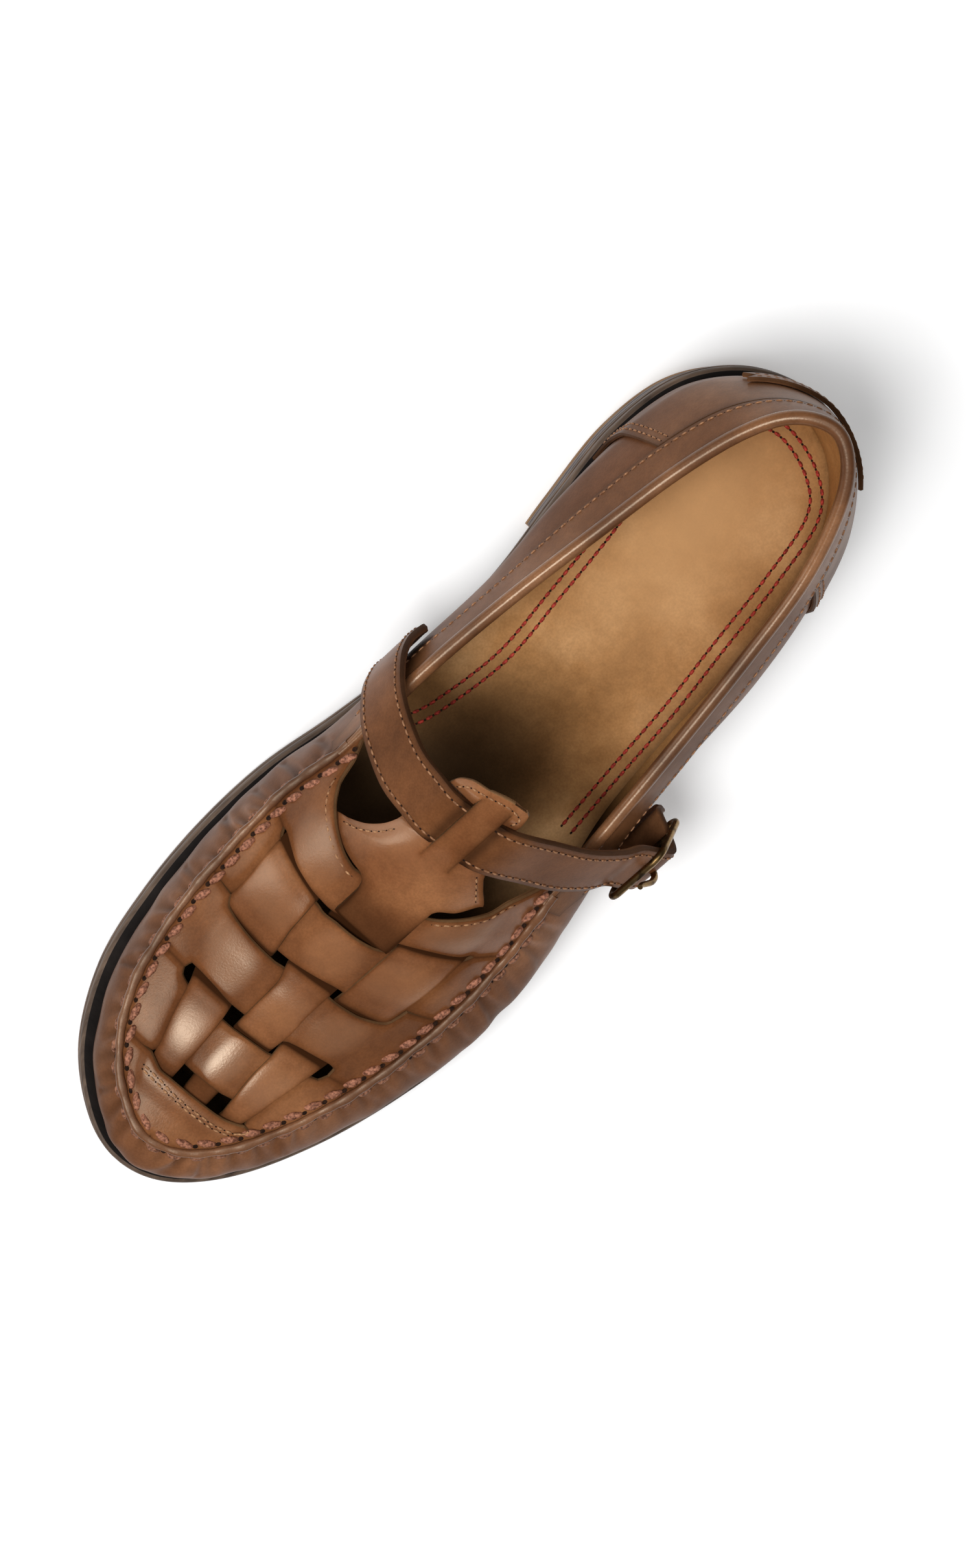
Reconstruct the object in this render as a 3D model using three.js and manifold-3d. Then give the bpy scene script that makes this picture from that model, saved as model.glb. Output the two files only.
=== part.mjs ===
// Woven T-bar loafer, left shoe: a hollow leather upper with a woven apron on a thin leather sole
// with a low stacked heel. Millimetres, toe along +X, outer side of the foot along +Y, floor at z = 0.
import * as THREE from "three";
import Module from "manifold-3d";

const wasm = await Module();
wasm.setup();
const { Manifold, Mesh: SolidMesh } = wasm;

// Driving sizes
const GAP = 0.3; // clearance between pieces that touch
const WALL = 1.8; // leather of the upper
const OVERLAY = 1.2; // leather of the band, the counter and the back strip
const WELT = 3.7; // upper layer of the sole edge
const SOCK = 2.2; // insole
const HEEL_LENGTH = 73; // back of the heel to its breast
const TOP_LIFT = 4.5; // tread of the heel
const HEEL_INSET = 0.6; // heel block inside the sole edge
const BELLY_SHARE = 0.38; // how far up the wall it swells most
const SEAM_RADIUS = 1.7; // hand-sewn ridge round the apron
const BEAD_RADIUS = 1.4; // rolled top edge of the collar
const STRIP_LIFT = 1; // a woven strip above the one it crosses
const STRAP_WIDTH = 15.6;
const STRAP_THICK = 2;
const STRAP_ON_TBAR = 1.3; // middle of the strap above the T-bar's own level
const WIRE = 1.3; // radius of the buckle frame
const ORIGIN_X = 131.55; // middle of the length, from the back of the heel
const ORIGIN_Y = 5.2; // middle of the width, from the heel's centre line

// Stations round the foot, from the back of the heel along the outer side to the toe and back.
// x, y: sole edge. foot: wall inside that edge. belly: wall outside it. tx, ty, tz: top edge.
const STATIONS = [
  { x: 0, y: 0, foot: 5, belly: -4.6, tx: 9.6, ty: 0, tz: 84.6 },
  { x: 5.2, y: 17.2, foot: 5.6, belly: -5.4, tx: 14.2, ty: 8.6, tz: 83.4 },
  { x: 20, y: 29.8, foot: 5.8, belly: -5.2, tx: 25, ty: 15.4, tz: 79.4 },
  { x: 41, y: 33.6, foot: 4.6, belly: -1.8, tx: 42, ty: 21.2, tz: 73.3 },
  { x: 65, y: 33.8, foot: 3, belly: 1.8, tx: 65, ty: 24.6, tz: 67 },
  { x: 90, y: 34, foot: 3, belly: 2.6, tx: 90, ty: 27.2, tz: 61.4 },
  { x: 115, y: 36.4, foot: 3, belly: 1.8, tx: 116, ty: 29.6, tz: 55 },
  { x: 137, y: 42.4, foot: 3.8, belly: 0.6, tx: 140, ty: 31.6, tz: 48.8 },
  { x: 158, y: 48.4, foot: 4.6, belly: -1.6, tx: 159, ty: 34.4, tz: 43.2 },
  { x: 181, y: 49.8, foot: 5, belly: -2.8, tx: 179, ty: 34.9, tz: 38.8 },
  { x: 204, y: 45.4, foot: 5, belly: -2.9, tx: 201, ty: 32.2, tz: 35.8 },
  { x: 226.6, y: 37.5, foot: 5, belly: -2.9, tx: 221.5, ty: 26.2, tz: 35 },
  { x: 246.3, y: 26.3, foot: 5, belly: -2.6, tx: 238.5, ty: 17.8, tz: 35.1 },
  { x: 258.9, y: 13.3, foot: 5, belly: -2.4, tx: 248.6, ty: 8.8, tz: 35.4 },
  { x: 263.1, y: 0, foot: 5, belly: -2.4, tx: 252, ty: -0.6, tz: 35.6 },
  { x: 259.6, y: -12.7, foot: 5.4, belly: -3.2, tx: 249, ty: -10, tz: 35.4 },
  { x: 247.7, y: -26.6, foot: 6, belly: -3.3, tx: 240, ty: -20.8, tz: 35.1 },
  { x: 228.7, y: -36.1, foot: 5.6, belly: -3, tx: 225, ty: -29, tz: 35 },
  { x: 207.7, y: -39.7, foot: 4.8, belly: -2.4, tx: 206, ty: -33.1, tz: 35.6 },
  { x: 186, y: -40.5, foot: 4.6, belly: -1.6, tx: 185, ty: -34.4, tz: 38 },
  { x: 164.3, y: -38.7, foot: 4.4, belly: -0.6, tx: 165, ty: -34.2, tz: 41.6 },
  { x: 142, y: -33.7, foot: 3.8, belly: 0.4, tx: 146.5, ty: -31.4, tz: 47.2 },
  { x: 117, y: -29.6, foot: 2, belly: 3.4, tx: 120, ty: -30.8, tz: 54 },
  { x: 91, y: -28.9, foot: 2, belly: 2.7, tx: 92, ty: -28, tz: 60.8 },
  { x: 65, y: -31.6, foot: 2.6, belly: 1.2, tx: 65.5, ty: -24, tz: 67 },
  { x: 41, y: -33.2, foot: 3.4, belly: -1.8, tx: 42, ty: -20.2, tz: 73.3 },
  { x: 20.4, y: -29, foot: 4, belly: -2.8, tx: 24.6, ty: -15.6, tz: 79.4 },
  { x: 5.8, y: -16.8, foot: 4.6, belly: -4, tx: 14, ty: -9.4, tz: 83.4 },
];
const ROUND = STATIONS.length;
const TOE = ROUND / 2; // the station at the toe tip
const SOLE_LENGTH = STATIONS[TOE].x;
const SEAM_END = 7; // stations from the toe to the end of the hand-sewn seam

// Side profile of the sole: height of its top and of its underside along the foot.
const SOLE = [
  { x: -2, top: 24.3, under: 16.3 },
  { x: 30, top: 23.9, under: 16.2 },
  { x: 58, top: 22.5, under: 15.6 },
  { x: 76, top: 21.2, under: 14.4 },
  { x: 88, top: 19.4, under: 12.2 },
  { x: 98, top: 17.2, under: 9.8 },
  { x: 108, top: 14.8, under: 7.2 },
  { x: 118, top: 12.7, under: 5 },
  { x: 128, top: 10.9, under: 3.1 },
  { x: 138, top: 9.7, under: 1.7 },
  { x: 148, top: 9.1, under: 0.6 },
  { x: 156, top: 8.9, under: 0 },
  { x: 186, top: 8.9, under: 0 },
  { x: 206, top: 9.9, under: 1.1 },
  { x: 225, top: 12.1, under: 3.1 },
  { x: 243, top: 16.2, under: 6.9 },
  { x: 253, top: 19.3, under: 10.4 },
  { x: 264, top: 23.2, under: 15 },
];

// Instep: height of its ridge, and width squared over drop to each side of it.
const INSTEP = [
  { x: 118, z: 94.5, spread: 28 },
  { x: 131, z: 85.4, spread: 30 },
  { x: 139, z: 80.4, spread: 31 },
  { x: 149, z: 74.2, spread: 34 },
  { x: 156, z: 69.6, spread: 41 },
  { x: 165, z: 63.8, spread: 54 },
  { x: 174, z: 58.8, spread: 66 },
  { x: 183, z: 53.8, spread: 80 },
  { x: 193, z: 48.3, spread: 105 },
  { x: 203, z: 43.4, spread: 140 },
  { x: 213, z: 40.4, spread: 165 },
  { x: 232, z: 38.3, spread: 190 },
  { x: 254, z: 37, spread: 160 },
];

// Where each cross line of the apron meets the ridge, one row for each station from the toe.
const APRON_RIDGE = [251.5, 250, 240.5, 225, 207, 189.5, 176, 166.5];
const BANDS = [2.2, 3.43, 4.6, 5.75, 7]; // edges of the four cross bands, in stations from the toe
const STRIPS = [-0.7, -0.26, 0.29, 0.7]; // edges of the three long strips, in shares of the width

// Gaps of the weave: x, y middle, length along the cut, width, turn of the cut about z in degrees.
const CUTS = [
  { x: 234.1, y: 6.2, long: 4.4, wide: 4.2, turn: 0 },
  { x: 234.9, y: -4.5, long: 4.4, wide: 4.2, turn: 0 },
  { x: 217.1, y: 0.4, long: 13, wide: 1.6, turn: 88 },
  { x: 214.6, y: -5.6, long: 4.4, wide: 3.4, turn: 0 },
  { x: 210.9, y: 20.5, long: 4.6, wide: 2.8, turn: 0 },
  { x: 214.5, y: -20.5, long: 4.6, wide: 2.8, turn: 20 },
  { x: 194.1, y: 17.4, long: 18, wide: 1.5, turn: 103 },
  { x: 197.7, y: -15.8, long: 18, wide: 1.5, turn: 85 },
  { x: 180.2, y: 0, long: 20, wide: 1.8, turn: 95 },
];

// Throat edge of the apron: x is the share of the width, u the stations from the toe.
const THROAT = [
  { x: -1, u: 7.2 },
  { x: -0.88, u: 6.9 },
  { x: -0.67, u: 6.7 },
  { x: -0.45, u: 6.7 },
  { x: -0.29, u: 6.83 },
  { x: 0.33, u: 6.86 },
  { x: 0.69, u: 7 },
  { x: 1, u: 7.2 },
];
const THROAT_FROM = 6.2; // the cross lines ahead of this station are not drawn to the throat

// Edges of the T-bar panel along the foot: the strip over the last band, two wings, neck and tip.
const TBAR = [
  { x: 128.6, outer: 7.4, inner: -1 },
  { x: 131.6, outer: 8.6, inner: -8.4 },
  { x: 136, outer: 10, inner: -11.4 },
  { x: 144, outer: 10.8, inner: -11.2 },
  { x: 149, outer: 13, inner: -12.2 },
  { x: 153.4, outer: 18.8, inner: -14.6 },
  { x: 156, outer: 17, inner: -18.6 },
  { x: 160, outer: 12, inner: -23.4 },
  { x: 163, outer: 10.4, inner: -19 },
  { x: 167, outer: 9.8, inner: -10 },
  { x: 177.5, outer: 9.6, inner: -9.2 },
];
const SLITS = { outer: 4.6, inner: -3.4 }; // the two slits that the strap runs through
const SLIT_FROM = 133.4;
const SLIT_TO = 151;
const SLIT_RAMP = 2.6;

// Route of the strap from its free end, through the buckle and the T-bar, to the inner side.
const STRAP = [
  [109.6, 40.9, 20],
  [110.6, 41.5, 25.5],
  [111.7, 40.7, 30.6],
  [114.3, 45.2, 35.4],
  [116.8, 48, 39.9],
  [119.2, 44.9, 44.3],
  [121.8, 40.2, 49.2],
  [126, 36.3, 54.8],
  [131.5, 28.8, 62.8],
  [135.9, 19.6, 71.2],
  [139, 13, 77.1],
  [141.4, 6.8, 79.2],
  [142.6, 0.6, 79.5],
  [143.2, -7, 78.2],
  [142.6, -13, 75.3],
  [140.6, -21.3, 68.6],
  [134.4, -31.4, 60],
  [127.8, -36.6, 50.5],
  [122.8, -37.6, 41],
  [118.6, -36.2, 32],
  [115.6, -34.4, 25.5],
];
const STRAP_ACROSS = new THREE.Vector3(0.85, 0, -0.53).normalize(); // across its width

// Buckle: middle of the frame, half its width and half its height to the middle of the wire.
const BUCKLE_AT = new THREE.Vector3(116.8, 44.6, 39.9);
const BUCKLE_HALF_WIDTH = 9.9;
const BUCKLE_HALF_HEIGHT = 10.2;
const BUCKLE_CORNER = 4;

const mix = (a, b, t) => a + (b - a) * t;
const clamp01 = (t) => Math.min(1, Math.max(0, t));
const ease = (t) => clamp01(t) ** 2 * (3 - 2 * clamp01(t));

// A value of a table at x, by a cubic that never overshoots its rows.
function along(rows, key, x) {
  const last = rows.length - 1;
  const rise = (i) => (rows[i + 1][key] - rows[i][key]) / (rows[i + 1].x - rows[i].x);
  const slope = (i) => {
    if (i <= 0 || i >= last) return rise(i <= 0 ? 0 : last - 1);
    const before = rise(i - 1);
    const after = rise(i);
    return before * after <= 0 ? 0 : (2 * before * after) / (before + after);
  };
  let i = 0;
  while (i < last - 1 && x > rows[i + 1].x) i += 1;
  const step = rows[i + 1].x - rows[i].x;
  const t = clamp01((x - rows[i].x) / step);
  const bend = rows[i][key] * (1 + 2 * t) * (1 - t) ** 2 + rows[i + 1][key] * t * t * (3 - 2 * t);
  return bend + step * (slope(i) * t * (1 - t) ** 2 + slope(i + 1) * t * t * (t - 1));
}

// A column of the station table at any place round the foot, through every row.
function round(key, s) {
  const i = Math.floor(s);
  const t = s - i;
  const row = (k) => STATIONS[(((i + k) % ROUND) + ROUND) % ROUND][key];
  const [a, b, c, d] = [row(-1), row(0), row(1), row(2)];
  return b + 0.5 * t * (c - a + t * (2 * a - 5 * b + 4 * c - d + t * (3 * (b - c) + d - a)));
}

// Sole edge at a station, moved outward by a distance.
function edge(s, out) {
  const back = [round("x", s - 0.01), round("y", s - 0.01)];
  const next = [round("x", s + 0.01), round("y", s + 0.01)];
  const run = Math.hypot(next[0] - back[0], next[1] - back[1]);
  const x = round("x", s) - (out * (next[1] - back[1])) / run;
  const y = round("y", s) + (out * (next[0] - back[0])) / run;
  return new THREE.Vector2(x, y);
}

const soleTop = (x) => along(SOLE, "top", x);
const topEdge = (s) => new THREE.Vector3(round("tx", s), round("ty", s), round("tz", s));

// Curve of the wall above its belly: nearly straight round the heel, rounder beside the apron.
function lean(s) {
  const place = ((s % ROUND) + ROUND) % ROUND;
  return mix(1.25, 2, ease((Math.min(place, ROUND - place) - 4) / 3));
}

// Outer face of the wall: t runs from the sole to the top edge.
function wallFace(s, t) {
  const foot = edge(s, -round("foot", s));
  const belly = edge(s, round("belly", s));
  const top = topEdge(s);
  const floor = soleTop(foot.x) + GAP;
  const low = t < BELLY_SHARE;
  const share = low ? 1 - t / BELLY_SHARE : (t - BELLY_SHARE) / (1 - BELLY_SHARE);
  const toward = low ? foot : top;
  const pull = share ** (low ? 2 : lean(s));
  return new THREE.Vector3(mix(belly.x, toward.x, pull), mix(belly.y, toward.y, pull), mix(floor, top.z, t));
}

// The same face moved outward along its own normal, which lies level at the sole.
function wall(s, t, out) {
  const around = wallFace(s + 0.02, t).sub(wallFace(s - 0.02, t));
  const up = wallFace(s, Math.min(1, t + 0.01)).sub(wallFace(s, Math.max(0, t - 0.01)));
  const normal = up.cross(around);
  normal.z *= ease(t / 0.2);
  return wallFace(s, t).addScaledVector(normal.normalize(), out);
}

const instep = (x, y) => along(INSTEP, "z", x) - (y * y) / along(INSTEP, "spread", x);

// Apron face: u runs from the toe to the throat in stations, b across from -1 to 1.
function apron(u, b, lift) {
  const outer = topEdge(TOE - u);
  const inner = topEdge(TOE + u);
  const i = Math.min(Math.floor(u), SEAM_END - 1);
  const ridge = mix(APRON_RIDGE[i], APRON_RIDGE[i + 1], u - i);
  const x = ridge + ((outer.x - inner.x) / 2) * b + ((outer.x + inner.x) / 2 - ridge) * b * b;
  const y = mix(inner.y, outer.y, (b + 1) / 2);
  const side = b > 0 ? outer : inner;
  const meet = (side.z - instep(side.x, side.y)) * b ** 4;
  return new THREE.Vector3(x, y, instep(x, y) + meet + lift);
}

// How far a point of the apron stands up as one strip rides over another.
function weave(u, b) {
  const row = BANDS.findIndex((from, i) => i < BANDS.length - 1 && u >= from && u < BANDS[i + 1]);
  const column = STRIPS.findIndex((from, i) => i < STRIPS.length - 1 && b >= from && b < STRIPS[i + 1]);
  if (row < 0 || column < 0) return u < BANDS[0] && Math.abs(b) < 0.6 ? STRIP_LIFT * 0.6 * ease(u - 1.2) : 0;
  const lengthwise = (row + column) % 2 === 0;
  const along01 = (u - BANDS[row]) / (BANDS[row + 1] - BANDS[row]);
  const across01 = (b - STRIPS[column]) / (STRIPS[column + 1] - STRIPS[column]);
  const share = lengthwise ? along01 : across01;
  return STRIP_LIFT * (1 - Math.abs(2 * share - 1) ** 3);
}

// A closed solid from points and triangles, turned to face outward.
function solid(points, faces) {
  let volume = 0;
  for (const [a, b, c] of faces) {
    volume += points[a].dot(new THREE.Vector3().crossVectors(points[b], points[c]));
  }
  const turned = volume < 0 ? faces.map(([a, b, c]) => [a, c, b]) : faces;
  return new Manifold(
    new SolidMesh({
      numProp: 3,
      vertProperties: new Float32Array(points.flatMap((p) => [p.x, p.y, p.z])),
      triVerts: new Uint32Array(turned.flat()),
    }),
  );
}

// A sheet with two faces: outer(i, j) and inner(i, j) give the points, and its rims are closed.
function sheet(rows, columns, outer, inner, closed = false) {
  const points = [];
  const faces = [];
  for (const face of [outer, inner]) {
    for (let i = 0; i < rows; i += 1) {
      for (let j = 0; j < columns; j += 1) points.push(face(i, j));
    }
  }
  const at = (side, i, j) => (side * rows + (i % rows)) * columns + j;
  const quad = (a, b, c, d) => faces.push([a, b, c], [a, c, d]);
  const steps = closed ? rows : rows - 1;
  for (let i = 0; i < steps; i += 1) {
    for (let j = 0; j < columns - 1; j += 1) {
      quad(at(0, i, j), at(0, i + 1, j), at(0, i + 1, j + 1), at(0, i, j + 1));
      quad(at(1, i, j), at(1, i, j + 1), at(1, i + 1, j + 1), at(1, i + 1, j));
    }
    quad(at(0, i + 1, 0), at(0, i, 0), at(1, i, 0), at(1, i + 1, 0));
    quad(at(0, i, columns - 1), at(0, i + 1, columns - 1), at(1, i + 1, columns - 1), at(1, i, columns - 1));
  }
  if (!closed) {
    for (let j = 0; j < columns - 1; j += 1) {
      quad(at(0, 0, j), at(0, 0, j + 1), at(1, 0, j + 1), at(1, 0, j));
      quad(at(0, rows - 1, j + 1), at(0, rows - 1, j), at(1, rows - 1, j), at(1, rows - 1, j + 1));
    }
  }
  return solid(points, faces);
}

// A round bar along a row of points, closed into a loop or capped at both ends.
function bar(path, radius, sides, loop) {
  const count = path.length;
  const points = [];
  const faces = [];
  path.forEach((p, i) => {
    const back = path[loop ? (i + count - 1) % count : Math.max(0, i - 1)];
    const next = path[loop ? (i + 1) % count : Math.min(count - 1, i + 1)];
    const run = next.clone().sub(back).normalize();
    const level = Math.abs(run.z) > 0.9 ? new THREE.Vector3(0, 1, 0) : new THREE.Vector3(0, 0, 1);
    const side = new THREE.Vector3().crossVectors(run, level).normalize();
    const up = new THREE.Vector3().crossVectors(side, run);
    for (let k = 0; k < sides; k += 1) {
      const turn = (2 * Math.PI * k) / sides;
      const r = typeof radius === "function" ? radius(i) : radius;
      const onSide = p.clone().addScaledVector(side, r * Math.cos(turn));
      points.push(onSide.addScaledVector(up, r * Math.sin(turn)));
    }
  });
  const at = (i, k) => (i % count) * sides + (k % sides);
  for (let i = 0; i < (loop ? count : count - 1); i += 1) {
    for (let k = 0; k < sides; k += 1) {
      faces.push([at(i, k), at(i + 1, k), at(i + 1, k + 1)], [at(i, k), at(i + 1, k + 1), at(i, k + 1)]);
    }
  }
  if (!loop) {
    for (let k = 1; k < sides - 1; k += 1) {
      faces.push([at(0, 0), at(0, k), at(0, k + 1)]);
      faces.push([at(count - 1, 0), at(count - 1, k + 1), at(count - 1, k)]);
    }
  }
  return solid(points, faces);
}

// A box of three.js as a solid, turned and placed by a matrix.
function block(width, depth, height, matrix) {
  const box = new THREE.BoxGeometry(width, depth, height).applyMatrix4(matrix);
  const corners = [];
  const index = new Map();
  const position = box.getAttribute("position");
  const corner = (i) => {
    const p = new THREE.Vector3().fromBufferAttribute(position, i);
    const key = p.toArray().map((v) => v.toFixed(4)).join();
    if (!index.has(key)) index.set(key, corners.push(p) - 1);
    return index.get(key);
  };
  const faces = [];
  for (let i = 0; i < box.index.count; i += 3) {
    faces.push([0, 1, 2].map((k) => corner(box.index.getX(i + k))));
  }
  return solid(corners, faces);
}

// Where the sole edge, moved in by a distance that may change round the foot, crosses a given x.
function edgeAt(x, inset, innerSide) {
  let [low, high] = innerSide ? [ROUND, TOE] : [0, TOE];
  for (let i = 0; i < 40; i += 1) {
    const middle = (low + high) / 2;
    if (edge(middle, -inset(middle)).x < x) low = middle;
    else high = middle;
  }
  return edge(low, -inset(low)).y;
}

// A plate between two heights with the outline of the sole, from one x to another.
function plate(fromX, toX, steps, inset, over, under) {
  const across = 2;
  const share = (i) => (1 - Math.cos((Math.PI * i) / steps)) / 2;
  const xs = Array.from({ length: steps + 1 }, (_, i) => mix(fromX, toX, share(i)));
  const ends = xs.map((x) => ({ outer: edgeAt(x, inset, false), inner: edgeAt(x, inset, true) }));
  const point = (height) => (i, j) => {
    const y = mix(ends[i].inner, ends[i].outer, j / across);
    return new THREE.Vector3(xs[i], y, height(xs[i]));
  };
  return sheet(steps + 1, across + 1, point(over), point(under));
}

function outsole() {
  const under = (x) => along(SOLE, "under", x);
  return plate(0.06, SOLE_LENGTH - 0.06, 40, () => 0, (x) => soleTop(x) - WELT - GAP, under);
}

function welt() {
  return plate(0.3, SOLE_LENGTH - 0.3, 36, () => 0.2, soleTop, (x) => soleTop(x) - WELT);
}

function heelBlock() {
  const over = (x) => along(SOLE, "under", x) - GAP;
  return plate(HEEL_INSET + 0.06, HEEL_LENGTH, 16, () => HEEL_INSET, over, () => TOP_LIFT + GAP);
}

function topLift() {
  return plate(HEEL_INSET + 0.06, HEEL_LENGTH, 16, () => HEEL_INSET, () => TOP_LIFT, () => 0);
}

function insole() {
  const inset = (s) => round("foot", s) + WALL + 0.5;
  const from = edge(0, -inset(0)).x + 0.06;
  const to = edge(TOE, -inset(TOE)).x - 0.06;
  return plate(from, to, 28, inset, (x) => soleTop(x) + GAP + SOCK, (x) => soleTop(x) + GAP);
}

// Rows of the apron's grid, with a pair of lines at each strip edge so that the edge stands up.
function paired(edges, between, low, high) {
  const lines = [low, ...between, high];
  for (const e of edges) lines.push(e - 0.012, e + 0.012);
  return lines.filter((v) => v >= low && v <= high).sort((a, b) => a - b);
}

function apronSolid() {
  const us = paired(BANDS.slice(0, 4), [0.6, 1, 1.5, 1.9, 2.6, 3, 3.8, 4.2, 5, 5.4, 6.2, 6.6], 0.25, 7);
  const bs = paired(STRIPS, [-0.88, -0.6, -0.44, -0.12, 0.12, 0.44, 0.6, 0.88], -1, 1);
  const reach = (i, j) => {
    const share = Math.max(0, (us[i] - THROAT_FROM) / (SEAM_END - THROAT_FROM));
    return mix(us[i], us[i] - SEAM_END + along(THROAT, "u", bs[j]), share);
  };
  const top = (i, j) => apron(reach(i, j), bs[j], weave(us[i], bs[j]));
  const under = (i, j) => apron(reach(i, j), bs[j], -WALL);
  let made = sheet(us.length, bs.length, top, under);
  for (const cut of CUTS) {
    const place = new THREE.Matrix4().makeRotationZ(THREE.MathUtils.degToRad(cut.turn));
    place.setPosition(cut.x, cut.y, instep(cut.x, cut.y));
    made = made.subtract(block(cut.long, cut.wide, 30, place));
  }
  return made;
}

// One lengthwise part of the T-bar: under the strap at its sides, over the strap in its middle.
function tbarPart(from, to, overStrap) {
  const rows = 17;
  const columns = 3;
  const xs = Array.from({ length: rows }, (_, i) => mix(TBAR[0].x, TBAR[TBAR.length - 1].x, i / (rows - 1)));
  const step = overStrap ? STRAP_ON_TBAR + STRAP_THICK / 2 + GAP : -WALL - 0.1;
  const level = (x) => {
    const slit = ease((x - SLIT_FROM + SLIT_RAMP) / SLIT_RAMP) * ease((SLIT_TO + SLIT_RAMP - x) / SLIT_RAMP);
    return step * slit * 1.12;
  };
  const sink = (x) => 0.8 * ease((x - 157) / 4);
  const y = (x, j) => {
    const ends = { outer: along(TBAR, "outer", x), inner: along(TBAR, "inner", x) };
    return mix(from(x, ends), to(x, ends), j / (columns - 1));
  };
  const point = (lift) => (i, j) => {
    const x = xs[i];
    return new THREE.Vector3(x, y(x, j), instep(x, y(x, j)) + level(x) + lift(x));
  };
  return sheet(rows, columns, point(() => WALL + 0.3), point((x) => -sink(x)));
}

function tbar() {
  const open = (x) => x > SLIT_FROM - SLIT_RAMP && x < SLIT_TO + SLIT_RAMP;
  const outerFrom = (x) => SLITS.outer + (open(x) ? GAP : -GAP);
  const innerTo = (x) => SLITS.inner - (open(x) ? GAP : -GAP);
  return Manifold.union([
    tbarPart(outerFrom, (x, ends) => ends.outer, false),
    tbarPart((x, ends) => Math.max(SLITS.inner, ends.inner), () => SLITS.outer, true),
    tbarPart((x, ends) => Math.min(ends.inner, SLITS.inner - 1), innerTo, false),
  ]);
}

function upper() {
  const around = ROUND * 3;
  const steps = 7;
  const outer = (i, j) => wall(i / 3, j / (steps - 1), 0);
  const inner = (i, j) => wall(i / 3, j / (steps - 1), -WALL);
  const side = sheet(around, steps, outer, inner, true);
  const rim = Array.from({ length: around }, (_, i) => topEdge(i / 3).add(new THREE.Vector3(0, 0, 0.3)));
  const seam = (i) => {
    const fromToe = Math.abs(i / 3 - TOE);
    return mix(SEAM_RADIUS, BEAD_RADIUS, ease(fromToe - SEAM_END + 0.5));
  };
  return Manifold.union([side, bar(rim, seam, 6, true), apronSolid(), tbar()]).simplify(0.03);
}

// Lower edge of the collar band as a share of the wall's height, level with the photo's stitch line.
function bandEdge(s) {
  const fromBack = Math.min(s, ROUND - s);
  const front = ease((fromBack - (SEAM_END - 0.45)) / 0.6);
  return mix(mix(0.81, 0.69, ease(fromBack / SEAM_END)), 0.86, front);
}

// A patch laid on the wall: s and t give its place, and it lies between two distances from the wall.
function patch(rows, columns, place, from, to) {
  const face = (out) => (i, j) => {
    const [s, t] = place(i / (rows - 1), j / (columns - 1));
    return wall(s, t, out);
  };
  return sheet(rows, columns, face(to), face(from));
}

function collarBand() {
  const place = (a, b) => {
    const s = mix(-SEAM_END - 0.15, SEAM_END + 0.15, a);
    const low = bandEdge(Math.abs(s));
    return [s, mix(low, 0.955, b)];
  };
  return patch(50, 3, place, GAP, GAP + OVERLAY);
}

function heelCounter() {
  const place = (a, b) => {
    const reach = 3.42 - 0.56 * Math.sqrt(b * 0.77);
    const s = mix(-reach, reach, a);
    return [s, mix(0.01, bandEdge(Math.abs(s)) - 0.012, b)];
  };
  return patch(25, 6, place, GAP, GAP + OVERLAY);
}

function backStrip() {
  const place = (a, b) => {
    const notch = 0.16 * (1 - Math.abs(2 * b - 1));
    const reach = 1.4 - notch;
    return [mix(-reach, reach, a), mix(0.43, 0.525, b)];
  };
  const low = 2 * GAP + OVERLAY;
  return patch(17, 5, place, low, low + OVERLAY);
}

// The strap's middle line as a smooth curve, and a ribbon of its width along it.
function strap() {
  const route = new THREE.CatmullRomCurve3(STRAP.map((p) => new THREE.Vector3(...p)), false, "centripetal");
  const rows = 61;
  const columns = 3;
  const face = (side) => (i, j) => {
    const k = i / (rows - 1);
    const middle = route.getPoint(k);
    const out = new THREE.Vector3().crossVectors(route.getTangent(k), STRAP_ACROSS).normalize();
    const end = Math.min(i, rows - 1 - i);
    const half = (STRAP_WIDTH / 2) * [0.62, 0.88, 0.97][end] || STRAP_WIDTH / 2;
    const across = half * (j - 1);
    return middle.addScaledVector(STRAP_ACROSS, across).addScaledVector(out, (side * STRAP_THICK) / 2);
  };
  const ribbon = sheet(rows, columns, face(1), face(-1));
  const { up, out } = buckleAxes();
  const hole = (along01, long, wide) => {
    const place = new THREE.Matrix4().makeBasis(STRAP_ACROSS, up, out);
    place.setPosition(BUCKLE_AT.clone().addScaledVector(up, along01));
    return block(wide, long, 40, place);
  };
  const near = BUCKLE_AT.clone().addScaledVector(out, 2);
  const slot = hole(2.2, 6.4, 2.8);
  const spare = hole(-5, 2.2, 2.2);
  const reach = new THREE.Matrix4().makeBasis(STRAP_ACROSS, up, out).setPosition(near);
  const window = block(20, 24, 12, reach);
  return ribbon.subtract(slot.intersect(window)).subtract(spare.intersect(window));
}

// Directions of the buckle: up along the strap and out from the foot.
function buckleAxes() {
  const out = new THREE.Vector3(0, 1, 0);
  const up = new THREE.Vector3().crossVectors(out, STRAP_ACROSS).negate().normalize();
  return { up, out };
}

// A point of the buckle: across its width, up along the strap, out from the foot.
function buckle(across, rise, outward) {
  const { up, out } = buckleAxes();
  const p = BUCKLE_AT.clone().addScaledVector(STRAP_ACROSS, across);
  return p.addScaledVector(up, rise).addScaledVector(out, outward);
}

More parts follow.
